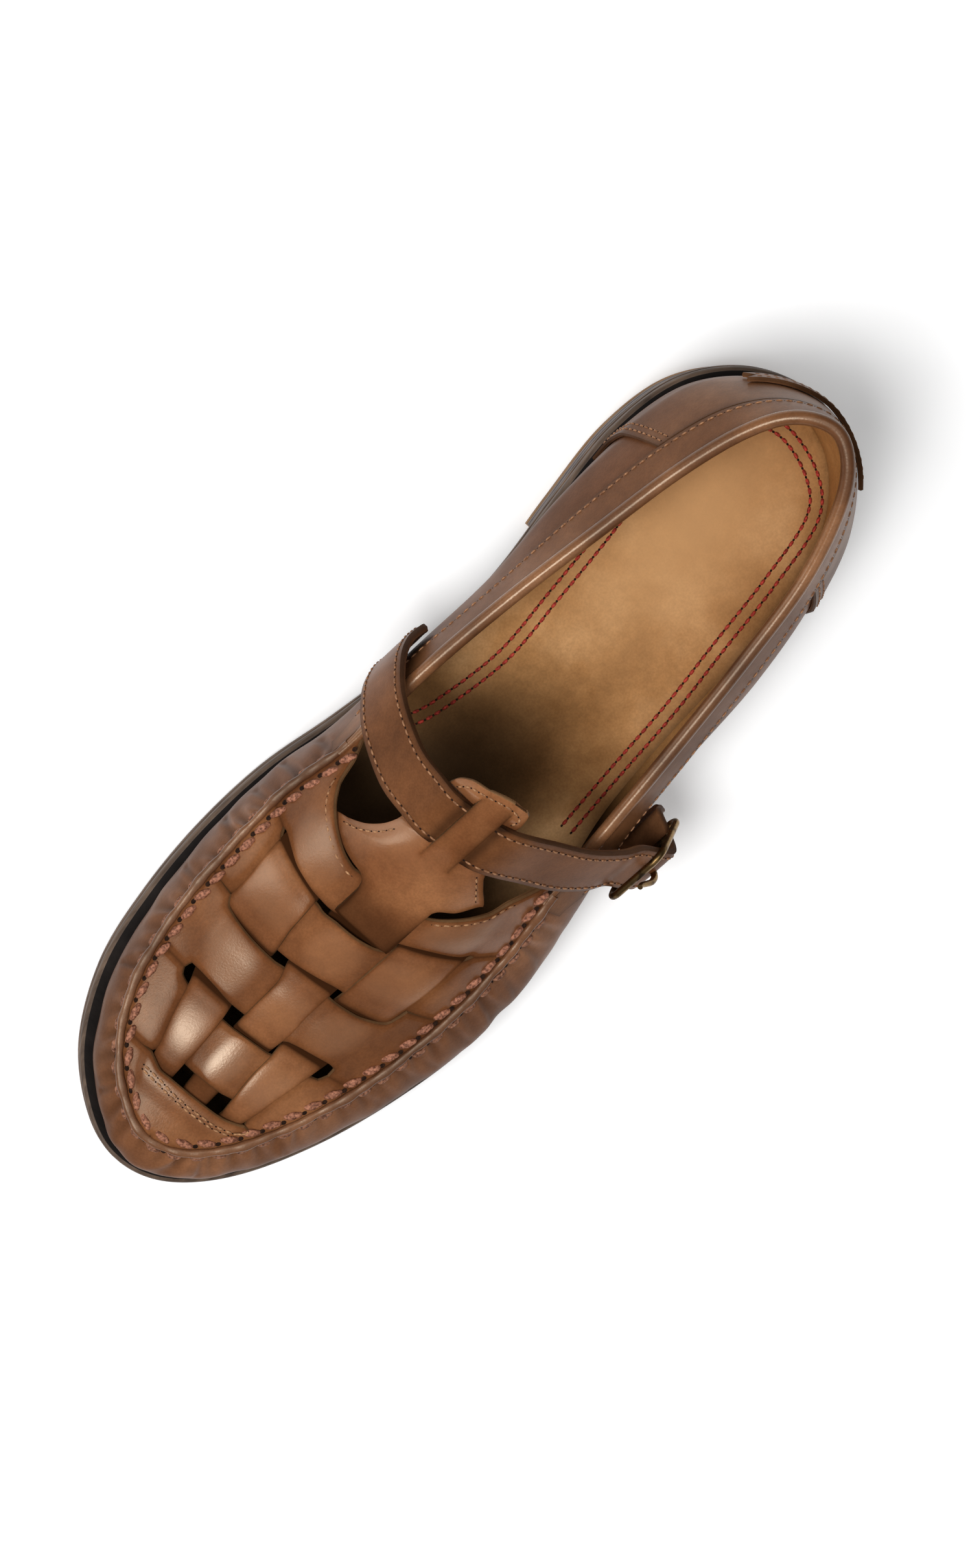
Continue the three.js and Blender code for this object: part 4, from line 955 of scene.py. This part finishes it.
# The panel in three lengthwise parts: inner edge, outer edge, step at the strap, points across.
columns = [
    (inner_edge, split[0], UNDER_STRAP, 22),
    (split[0], split[1], OVER_STRAP, 16),
    (split[1], outer_edge, UNDER_STRAP, 18),
]
patches, wears = [], []
for low_y, high_y, step, wide in columns:
    y = mix(low_y, high_y, np.linspace(0, 1, wide)[None, :])
    x = np.broadcast_to(tbar_x, y.shape)
    patches.append(np.stack([x, y, tbar_height(x, y, step)], -1))
    # Painted highlight along the inner edge and over the middle of the panel.
    pale_and_painted_light = 0.75 * np.exp(-0.1 * (y - inner_edge)) * ease((164 - x) / 8)
    pale_and_painted_light = pale_and_painted_light + 0.12 * np.exp(-((x - 160) / 9) ** 2)
    # Darker over the keeper, towards the front end, and a little all over.
    darker_keeper_and_front = 0.3 * ease((154 - x) / 8) * (step > 0) + 0.55 * ease((x - 164) / 11) + 0.12
    # Painted shadow where the front end goes down into the slit.
    slit_shadow = 1.3 * ease((x - TBAR_FRONT + 4.6) / 2)
    wears.append((pale_and_painted_light - darker_keeper_and_front - slit_shadow).ravel())
sheet("tbar_panel", "upper", patches, TBAR_THICK, strip_finishes, crisp=50, bulge=0.3, burn=0.8,
      wear=np.concatenate(wears))
TBAR_ROWS = {
    "inner": [(160.4, -20.6), (159.4, -17.6), (156.9, -14.2), (153.4, -11.8)],
    "outer": [(148.6, 10.6), (151.0, 13.2), (153.2, 15.6)],
    "tip": [(133.6, 6.3), (131.2, 6.4), (130.9, 2.6), (132.5, -3.6), (133.6, -7.6), (135.4, -9.4)],
}
for row_name, rows in TBAR_ROWS.items():
    line = smooth_route(rows, 120)
    path = np.column_stack([line, tbar_height(line[:, 0], line[:, 1], UNDER_STRAP) + 0.02])
    stitches(f"tbar_stitches_{row_name}", "upper", path, (0.3, 0, 1), TBAR_STITCH, edge_thread)

# Hand-sewn seam: the edges of the apron and the wall are drawn up together into a flat-topped lip and
# sewn through by hand with thick waxed thread, one row showing on the apron and one on the wall.
LIP_HALF, LIP_OUT, LIP_UP = 1.1, 0.6, 0.45
LIP_SIDES = 18
SEW_STEPS = 1500
APRON_ROW_IN = 2.0  # from the lip to the row on the apron
WALL_ROW_AT = 0.95  # height of the row on the wall
APRON_ROW_STITCH = (seam_step, 5.0, 0.92, 0.6)
WALL_ROW_STITCH = (seam_step, 4.2, 0.68, 0.55)


def rod(name, node, finish, path, radius, sides, loop=False, level_up=(0, 0, 1), tall=1.0, square=1.0):
    """A bar along a path; square below 1 flattens its round section."""
    run = unit(np.roll(path, -1, 0) - np.roll(path, 1, 0)) if loop else unit(np.gradient(path, axis=0))
    side = unit(np.cross(run, np.broadcast_to(np.array(level_up, float), run.shape)))
    up = np.cross(side, run)
    turn = 2 * np.pi * np.arange(sides) / sides
    reach = np.broadcast_to(np.asarray(radius, float), (len(path),))[:, None, None]
    wide, high = (np.sign(v) * np.abs(v) ** square for v in (np.cos(turn), np.sin(turn)))
    ring = side[:, None] * wide[None, :, None] + up[:, None] * tall * high[None, :, None]
    points = (path[:, None] + reach * ring).reshape(-1, 3)
    place(name, node, points, tube_faces(len(path), sides, loop), [finish], crisp=80)


sew_s = np.linspace(TOE - SEAM_END - 0.05, TOE + SEAM_END + 0.05, SEW_STEPS)
lip_line = top_edge(sew_s)
way = unit(np.gradient(lip_line, axis=0))
inward = unit(np.stack([way[:, 1], -way[:, 0], np.zeros(len(way))], 1))
sew_run = np.interp(sew_s, seam_s, seam_run)
pinch = np.cos(2 * np.pi * sew_run / seam_step)
wander = 0.16 * np.sin(sew_run / 3.1) * np.sin(sew_run / 7.7 + 1)
lip_path = lip_line - inward * (LIP_OUT + wander)[:, None] + np.array([0, 0, LIP_UP])
lip_half = LIP_HALF * (1 + 0.08 * pinch + wander)
seam_brown = leather("seam_leather", (98, 62, 40), (74, 45, 28), (124, 83, 56), 0.36, shine=0.4)
rod("seam_lip", "upper", seam_brown, lip_path, lip_half, LIP_SIDES, tall=0.85, square=0.72)
seam_thread = thread_finish("seam_thread", (170, 115, 90), (92, 56, 41))
loop_thread = thread_finish("loop_thread", (150, 104, 80), (82, 52, 38))
inner_row = lip_line + inward * APRON_ROW_IN
from_toe = np.clip(np.abs(sew_s - TOE), 0, SEAM_END)
half_width = np.maximum(12, np.abs(top_edge(TOE - from_toe)[:, 1] - top_edge(TOE + from_toe)[:, 1]) / 2)
keep = (1 - APRON_ROW_IN / half_width) ** 4
edge_rise = lip_line[:, 2] - instep(lip_line[:, 0], lip_line[:, 1])
inner_row[:, 2] = instep(inner_row[:, 0], inner_row[:, 1]) + edge_rise * keep + 0.15
inner_out = unit(np.array([0, 0, 1.0]) - 0.2 * inward)
stitches("seam_stitches_inner", "upper", inner_row, inner_out, APRON_ROW_STITCH, seam_thread,
         slant=0.24, twist=0.13, hole_aside=-0.7, uneven=0.06)
row_t = np.full_like(sew_s, WALL_ROW_AT)
stitches("seam_stitches_outer", "upper", wall(sew_s, row_t, 0.2), wall_out(sew_s, row_t), WALL_ROW_STITCH,
         loop_thread, slant=0.2, twist=0.13, bow=-0.6, uneven=0.08)
tail = apron(np.linspace(2.12, 2.3, 5), np.array([0.8, 0.83, 0.86, 0.865, 0.85]), 0.9)
rod("thread_tail", "upper", edge_thread, smooth_route(tail, 24), 0.28, 8)

# Collar: the top edge is bound with a padded roll of leather, and a band is sewn round below it from
# one end of the seam to the other.
BEAD_RADIUS = 1.85
OVERLAY = 1.2  # leather of the band, the counter and the back strip
BAND_OUT = 1.5  # from the wall's face to the band's
BAND_BACK, BAND_SIDE, BAND_FRONT = 0.81, 0.69, 0.86  # its lower edge as a share of the wall's height
BAND_STITCH = (2.5, 1.8, 0.28, 0.22)
bead_s = np.linspace(-SEAM_END - 0.1, SEAM_END + 0.1, 600)
bead_path = top_edge(bead_s) + np.array([0, 0, 0.2])
bead_radius = mix(BEAD_RADIUS, LIP_HALF, ease((np.abs(bead_s) - 6.4) / 0.7))
bead_brown = leather("bead_leather", (104, 66, 40), (80, 48, 29), (140, 96, 64), 0.3, shine=0.5)
rod("collar_bead", "upper", bead_brown, bead_path, bead_radius, LIP_SIDES)
overlay_thread = thread_finish("overlay_thread", (166, 122, 88), (108, 72, 50))


def band_edge(s):
    """Lower edge of the band at stations s from the back."""
    along = np.abs(s)
    front = ease((along - (SEAM_END - 0.45)) / 0.6)
    return mix(mix(BAND_BACK, BAND_SIDE, ease(along / SEAM_END)), BAND_FRONT, front)


band_s = np.linspace(-SEAM_END - 0.15, SEAM_END + 0.15, 420)[:, None]
band_t = mix(band_edge(band_s), 1.0, np.linspace(0, 1, 18)[None, :])
cut_edge = leather("cut_edge", (104, 68, 43), (76, 48, 30), (132, 91, 60), 0.6, shine=0.08)
band_brown = leather("band_leather", (110, 70, 42), (96, 60, 36), (136, 92, 60), 0.4, shine=0.09)
band_finishes = [band_brown, cut_edge, cut_edge]
sheet("collar_band_leather", "collar_band", [wall(band_s, band_t, BAND_OUT)], OVERLAY, band_finishes)


def sewn_line(name, node, s, t, out, size):
    """A row of stitches on a piece that lies on the wall, along stations s at heights t."""
    stitches(name, node, wall(s, t, out), wall_out(s, t), size, overlay_thread)


line_s = np.linspace(-SEAM_END + 0.2, SEAM_END - 0.2, 700)
sewn_line("band_stitches", "collar_band", line_s, band_edge(line_s) + 0.03, 1.45, BAND_STITCH)

# Heel counter: a stiffened piece sewn over the back of the wall with two rows of stitches along its
# front edges, and a short fish-tailed strip over the back seam.
COUNTER_OUT, BACK_STRIP_OUT = 1.45, 2.9  # from the wall's face to theirs
COUNTER_FOOT, COUNTER_LEAN = 3.42, 0.56  # stations from the back
BACK_STRIP_LOW, BACK_STRIP_HIGH = 0.43, 0.525  # shares of the wall's height
BACK_STRIP_END, FISH_TAIL = 1.4, 0.16  # stations from the back, depth of its notched ends
COUNTER_GAP = 0.012  # to the sole and to the band, as a share of the wall's height
COUNTER_STITCH = (2.4, 1.7, 0.28, 0.22)
BACK_STRIP_STITCH = (2.2, 1.6, 0.28, 0.22)


def counter_reach(b):
    """Stations from the back to the counter's front edge, b from its foot to its top."""
    return COUNTER_FOOT - COUNTER_LEAN * np.sqrt(b * 0.77)


def counter_height(s, b):
    return mix(COUNTER_GAP, band_edge(s) - COUNTER_GAP, b)


share_b = np.linspace(0, 1, 44)[None, :]
counter_s = np.linspace(-1, 1, 200)[:, None] * counter_reach(share_b)
counter_face = wall(counter_s, counter_height(counter_s, share_b), COUNTER_OUT)
counter_brown = leather("counter_leather", (106, 68, 42), (93, 58, 35), (132, 90, 58), 0.4, shine=0.09)
counter_finishes = [counter_brown, cut_edge, cut_edge]
sheet("heel_counter_leather", "heel_counter", [counter_face], OVERLAY, counter_finishes)
for side_name, sign in (("outer", 1), ("inner", -1)):
    for row, inset in ((1, 0.075), (2, 0.165)):
        up_share = np.linspace(0.04, 0.97, 200)
        s = sign * (counter_reach(up_share) - inset)
        t = counter_height(s, up_share)
        sewn_line(f"counter_stitches_{side_name}_{row}", "heel_counter", s, t, 1.42, COUNTER_STITCH)
tall = np.linspace(0, 1, 14)[None, :]
strip_s = np.linspace(-1, 1, 120)[:, None] * (BACK_STRIP_END - FISH_TAIL * (1 - np.abs(2 * tall - 1)))
strip_face = wall(strip_s, mix(BACK_STRIP_LOW, BACK_STRIP_HIGH, tall), BACK_STRIP_OUT)
sheet("back_strip_leather", "back_strip", [strip_face], OVERLAY, band_finishes, burn=0.5)
for edge_name, height in (("low", 0.452), ("high", 0.5)):
    s = np.linspace(-1.28, 1.28, 160)
    t = np.full_like(s, height)
    sewn_line(f"back_strip_stitches_{edge_name}", "back_strip", s, t, 2.7, BACK_STRIP_STITCH)

# Strap: one long strip of leather from the inner side over the instep, through the T-bar's slits and
# down the outer side through the buckle. Raw edges, and a row of stitches along each side.
STRAP_WIDTH, STRAP_THICK = 15.6, 2.0
STRAP_STEPS, STRAP_COLUMNS = 420, 27
STRAP_LONG, END_ROUND = 190, 7
STRAP_STITCH = (2.6, 1.8, 0.28, 0.28)
# Its route from the loose end at the outer side to the inner side: x, y, z.
STRAP = [
    (109.6, 40.9, 20), (110.6, 41.5, 25.5), (111.7, 40.7, 30.6), (114.3, 45.2, 35.4), (116.8, 48, 39.9),
    (119.2, 44.9, 44.3), (121.8, 40.2, 49.2), (126, 36.3, 54.8), (131.5, 28.8, 62.8), (135.9, 19.6, 71.2),
    (139, 13, 77.2), (141, 8.2, 79.5), (141.9, 4.6, 79.2), (142.5, 0.4, 78.6), (143, -4.2, 78.4),
    (143.3, -8.4, 78.1), (142.6, -13, 75.3), (140.6, -21.3, 68.6), (134.4, -31.4, 60), (127.8, -36.6, 50.5),
    (122.8, -37.6, 41), (118.6, -36.2, 32), (115.6, -34.4, 25.5),
]
ACROSS = unit(np.array([0.85, 0, -0.53]))
route = smooth_route(STRAP, STRAP_STEPS)
route_out = unit(np.cross(unit(np.gradient(route, axis=0)), ACROSS))
at = np.arange(STRAP_STEPS)
end_run = np.minimum(at, at[::-1]) / STRAP_STEPS * STRAP_LONG
rounding = 1 - 0.75 * (1 - np.clip(end_run / END_ROUND, 0, 1)) ** 2.4
half = STRAP_WIDTH / 2 * np.sqrt(np.clip(rounding, 0.05, 1))
share = np.linspace(-1, 1, STRAP_COLUMNS)
strap_face = route[:, None] + ACROSS * (half[:, None] * share[None, :])[..., None]
strap_face = strap_face + route_out[:, None] * (STRAP_THICK / 2 - 0.3 * share ** 4)[None, :, None]
loose_end = 0.45 * ease((60 - at) / 30)
# Painted shadow on the strap beside the slits it runs through; the loose end is paler.
shadow_beside_slits = np.exp(-((np.abs(route[:, 1] - 0.3) - 5.0) / 1.8) ** 2) * (route[:, 2] > 70)
strap_wear = np.repeat(loose_end - 0.7 * shadow_beside_slits, STRAP_COLUMNS)
strap_brown = leather("strap_leather", (104, 64, 37), (82, 49, 28), (134, 88, 56), 0.36, shine=0.08)
strap_finishes = [strap_brown, cut_edge, cut_edge]
sheet("strap_leather", "strap", [strap_face], STRAP_THICK, strap_finishes, bulge=0.35, burn=0.9,
      wear=strap_wear)
off_ends = slice(14, -14)
for side_name, sign in (("front", 1), ("rear", -1)):
    line = route + ACROSS * (sign * (half - 1.7))[:, None] + route_out * (STRAP_THICK / 2 - 0.1)
    stitches(f"strap_stitches_{side_name}", "strap", line[off_ends], route_out[off_ends], STRAP_STITCH,
             overlay_thread)

# Buckle: a cast frame of antique brass with a centre bar and a turned prong, which holds the strap at
# the outer side.
BUCKLE_AT = np.array([116.8, 44.6, 39.9])
HALF_WIDTH, HALF_HEIGHT, CORNER = 9.9, 10.2, 4.0
WIRE, BAR, PRONG_FOOT, PRONG_TIP = 0.95, 1.1, 1.0, 0.7  # radii
WIRE_SIDES, BAR_SIDES = 14, 12
CORNER_STEPS, BAR_STEPS, PRONG_STEPS = 12, 12, 40
# The prong's curve: up from the bar, out from the foot.
PRONG = [(0.2, 2.0), (1.6, 3.6), (3.4, 4.6), (6, 4.4), (8.4, 3.3), (10.2, 2.4), (11.6, 2.2)]
BUCKLE_OUT = np.array([0, 1.0, 0])
BUCKLE_UP = unit(-np.cross(BUCKLE_OUT, ACROSS))


def buckle(across, rise, outward):
    """Points of the buckle: across its width, up along the strap, out from the foot."""
    across, rise, outward = (np.asarray(v, float)[..., None] for v in (across, rise, outward))
    return BUCKLE_AT + across * ACROSS + rise * BUCKLE_UP + outward * BUCKLE_OUT


def antique_brass():
    """Cast brass with a dark patina in patches and bright rubbed places."""
    finish, tree, shader = new_finish("antique_brass", 0.32)
    patina = mottle(tree, 3.2, 5)
    colour = tones(tree, patina, [(0.35, tint(58, 44, 28)), (0.62, tint(136, 108, 68))])
    shine = tones(tree, patina, [(0.35, grey(0.5)), (0.65, grey(0.26))])
    feed(tree, shader, {"Base Color": colour, "Roughness": shine, "Metallic": 1.0})
    relief(tree, shader, (patina, 0.06))
    return finish


brass = antique_brass()
turn = np.concatenate([np.radians(np.linspace(q * 90, q * 90 + 90, CORNER_STEPS)) for q in range(4)])
corner_w = np.repeat([1, -1, -1, 1], CORNER_STEPS) * (HALF_WIDTH - CORNER)
corner_h = np.repeat([1, 1, -1, -1], CORNER_STEPS) * (HALF_HEIGHT - CORNER)
loop = buckle(corner_w + CORNER * np.cos(turn), corner_h + CORNER * np.sin(turn), 0 * turn)
rod("buckle_frame_brass", "buckle_frame", brass, loop, WIRE, WIRE_SIDES, True, BUCKLE_OUT)
across = np.linspace(-HALF_WIDTH, HALF_WIDTH, BAR_STEPS)
bar_line = buckle(across, 0 * across, 0 * across)
rod("buckle_bar_brass", "buckle_frame", brass, bar_line, BAR, BAR_SIDES, False, BUCKLE_OUT)
rise, outward = smooth_route(PRONG, PRONG_STEPS).T
prong_line = buckle(0 * rise, rise, outward)
prong_half = np.linspace(PRONG_FOOT, PRONG_TIP, PRONG_STEPS)
rod("buckle_prong_brass", "buckle_prong", brass, prong_line, prong_half, BAR_SIDES, False, ACROSS)

# Studio: a pale floor and four soft lights, the strongest over the toe, a low one at the inner side, a
# weak one at the outer side and one above the heel. The camera stands above the shoe, rolled so that the
# toe points down to the left.
FLOOR = 6.0
bpy.ops.mesh.primitive_plane_add(size=FLOOR, location=(0, 0, 0))
floor = bpy.context.object
floor.name = "studio_floor"
floor_finish, tree, shader = new_finish("pale_floor", 0.8)
paper = tones(tree, mottle(tree, 400, 2), [(0.3, grey(0.9)), (0.7, grey(0.93))])
feed(tree, shader, {"Base Color": paper, "Emission Color": grey(1.0), "Emission Strength": 0.15})
floor.data.materials.append(floor_finish)


def soft_light(name, place_at, size, power):
    """A square soft light aimed at the shoe."""
    lamp = bpy.data.lights.new(name, "AREA")
    lamp.size = size
    lamp.energy = power
    holder = bpy.data.objects.new(name, lamp)
    bpy.context.scene.collection.objects.link(holder)
    holder.location = place_at
    aim = Vector((0, 0, 0.03)) - holder.location
    holder.rotation_euler = aim.to_track_quat("-Z", "Y").to_euler()


soft_light("key_light", (0.56, -0.26, 1.6), 0.6, 23)
soft_light("side_light", (0.72, -1.35, 0.7), 0.8, 7)
soft_light("fill_light", (0.45, 1.1, 1.2), 1.2, 2.5)
soft_light("top_light", (-0.4, -0.05, 1.9), 1.0, 8)
world = bpy.data.worlds.new("studio_air")
bpy.context.scene.world = world
world.use_nodes = True
air = world.node_tree.nodes["Background"]
feed(world.node_tree, air, {"Color": grey(1.0), "Strength": 0.1})
bpy.context.scene.view_settings.view_transform = "Standard"

VIEW_FROM = np.array([146.0, -214.2, 1397.3])
PICTURE_DOWN = np.array([0.7398, 0.6669, 0.0892])
AIM_AT = np.array([129.0, 3.0, 38.0])
LENS = 126.0
forward = unit(AIM_AT - VIEW_FROM)
right = unit(np.cross(PICTURE_DOWN, forward))
picture_up = np.cross(right, forward)
camera = bpy.data.objects.new("camera", bpy.data.cameras.new("camera"))
bpy.context.scene.collection.objects.link(camera)
camera.data.lens = LENS
camera.data.sensor_width = 36.0
camera.data.clip_end = 20.0
turned = np.stack([right, picture_up, -forward], 1)
camera.matrix_world = Matrix(turned.tolist()).to_4x4()
camera.location = ((VIEW_FROM - ORIGIN) / 1000).tolist()
bpy.context.scene.camera = camera
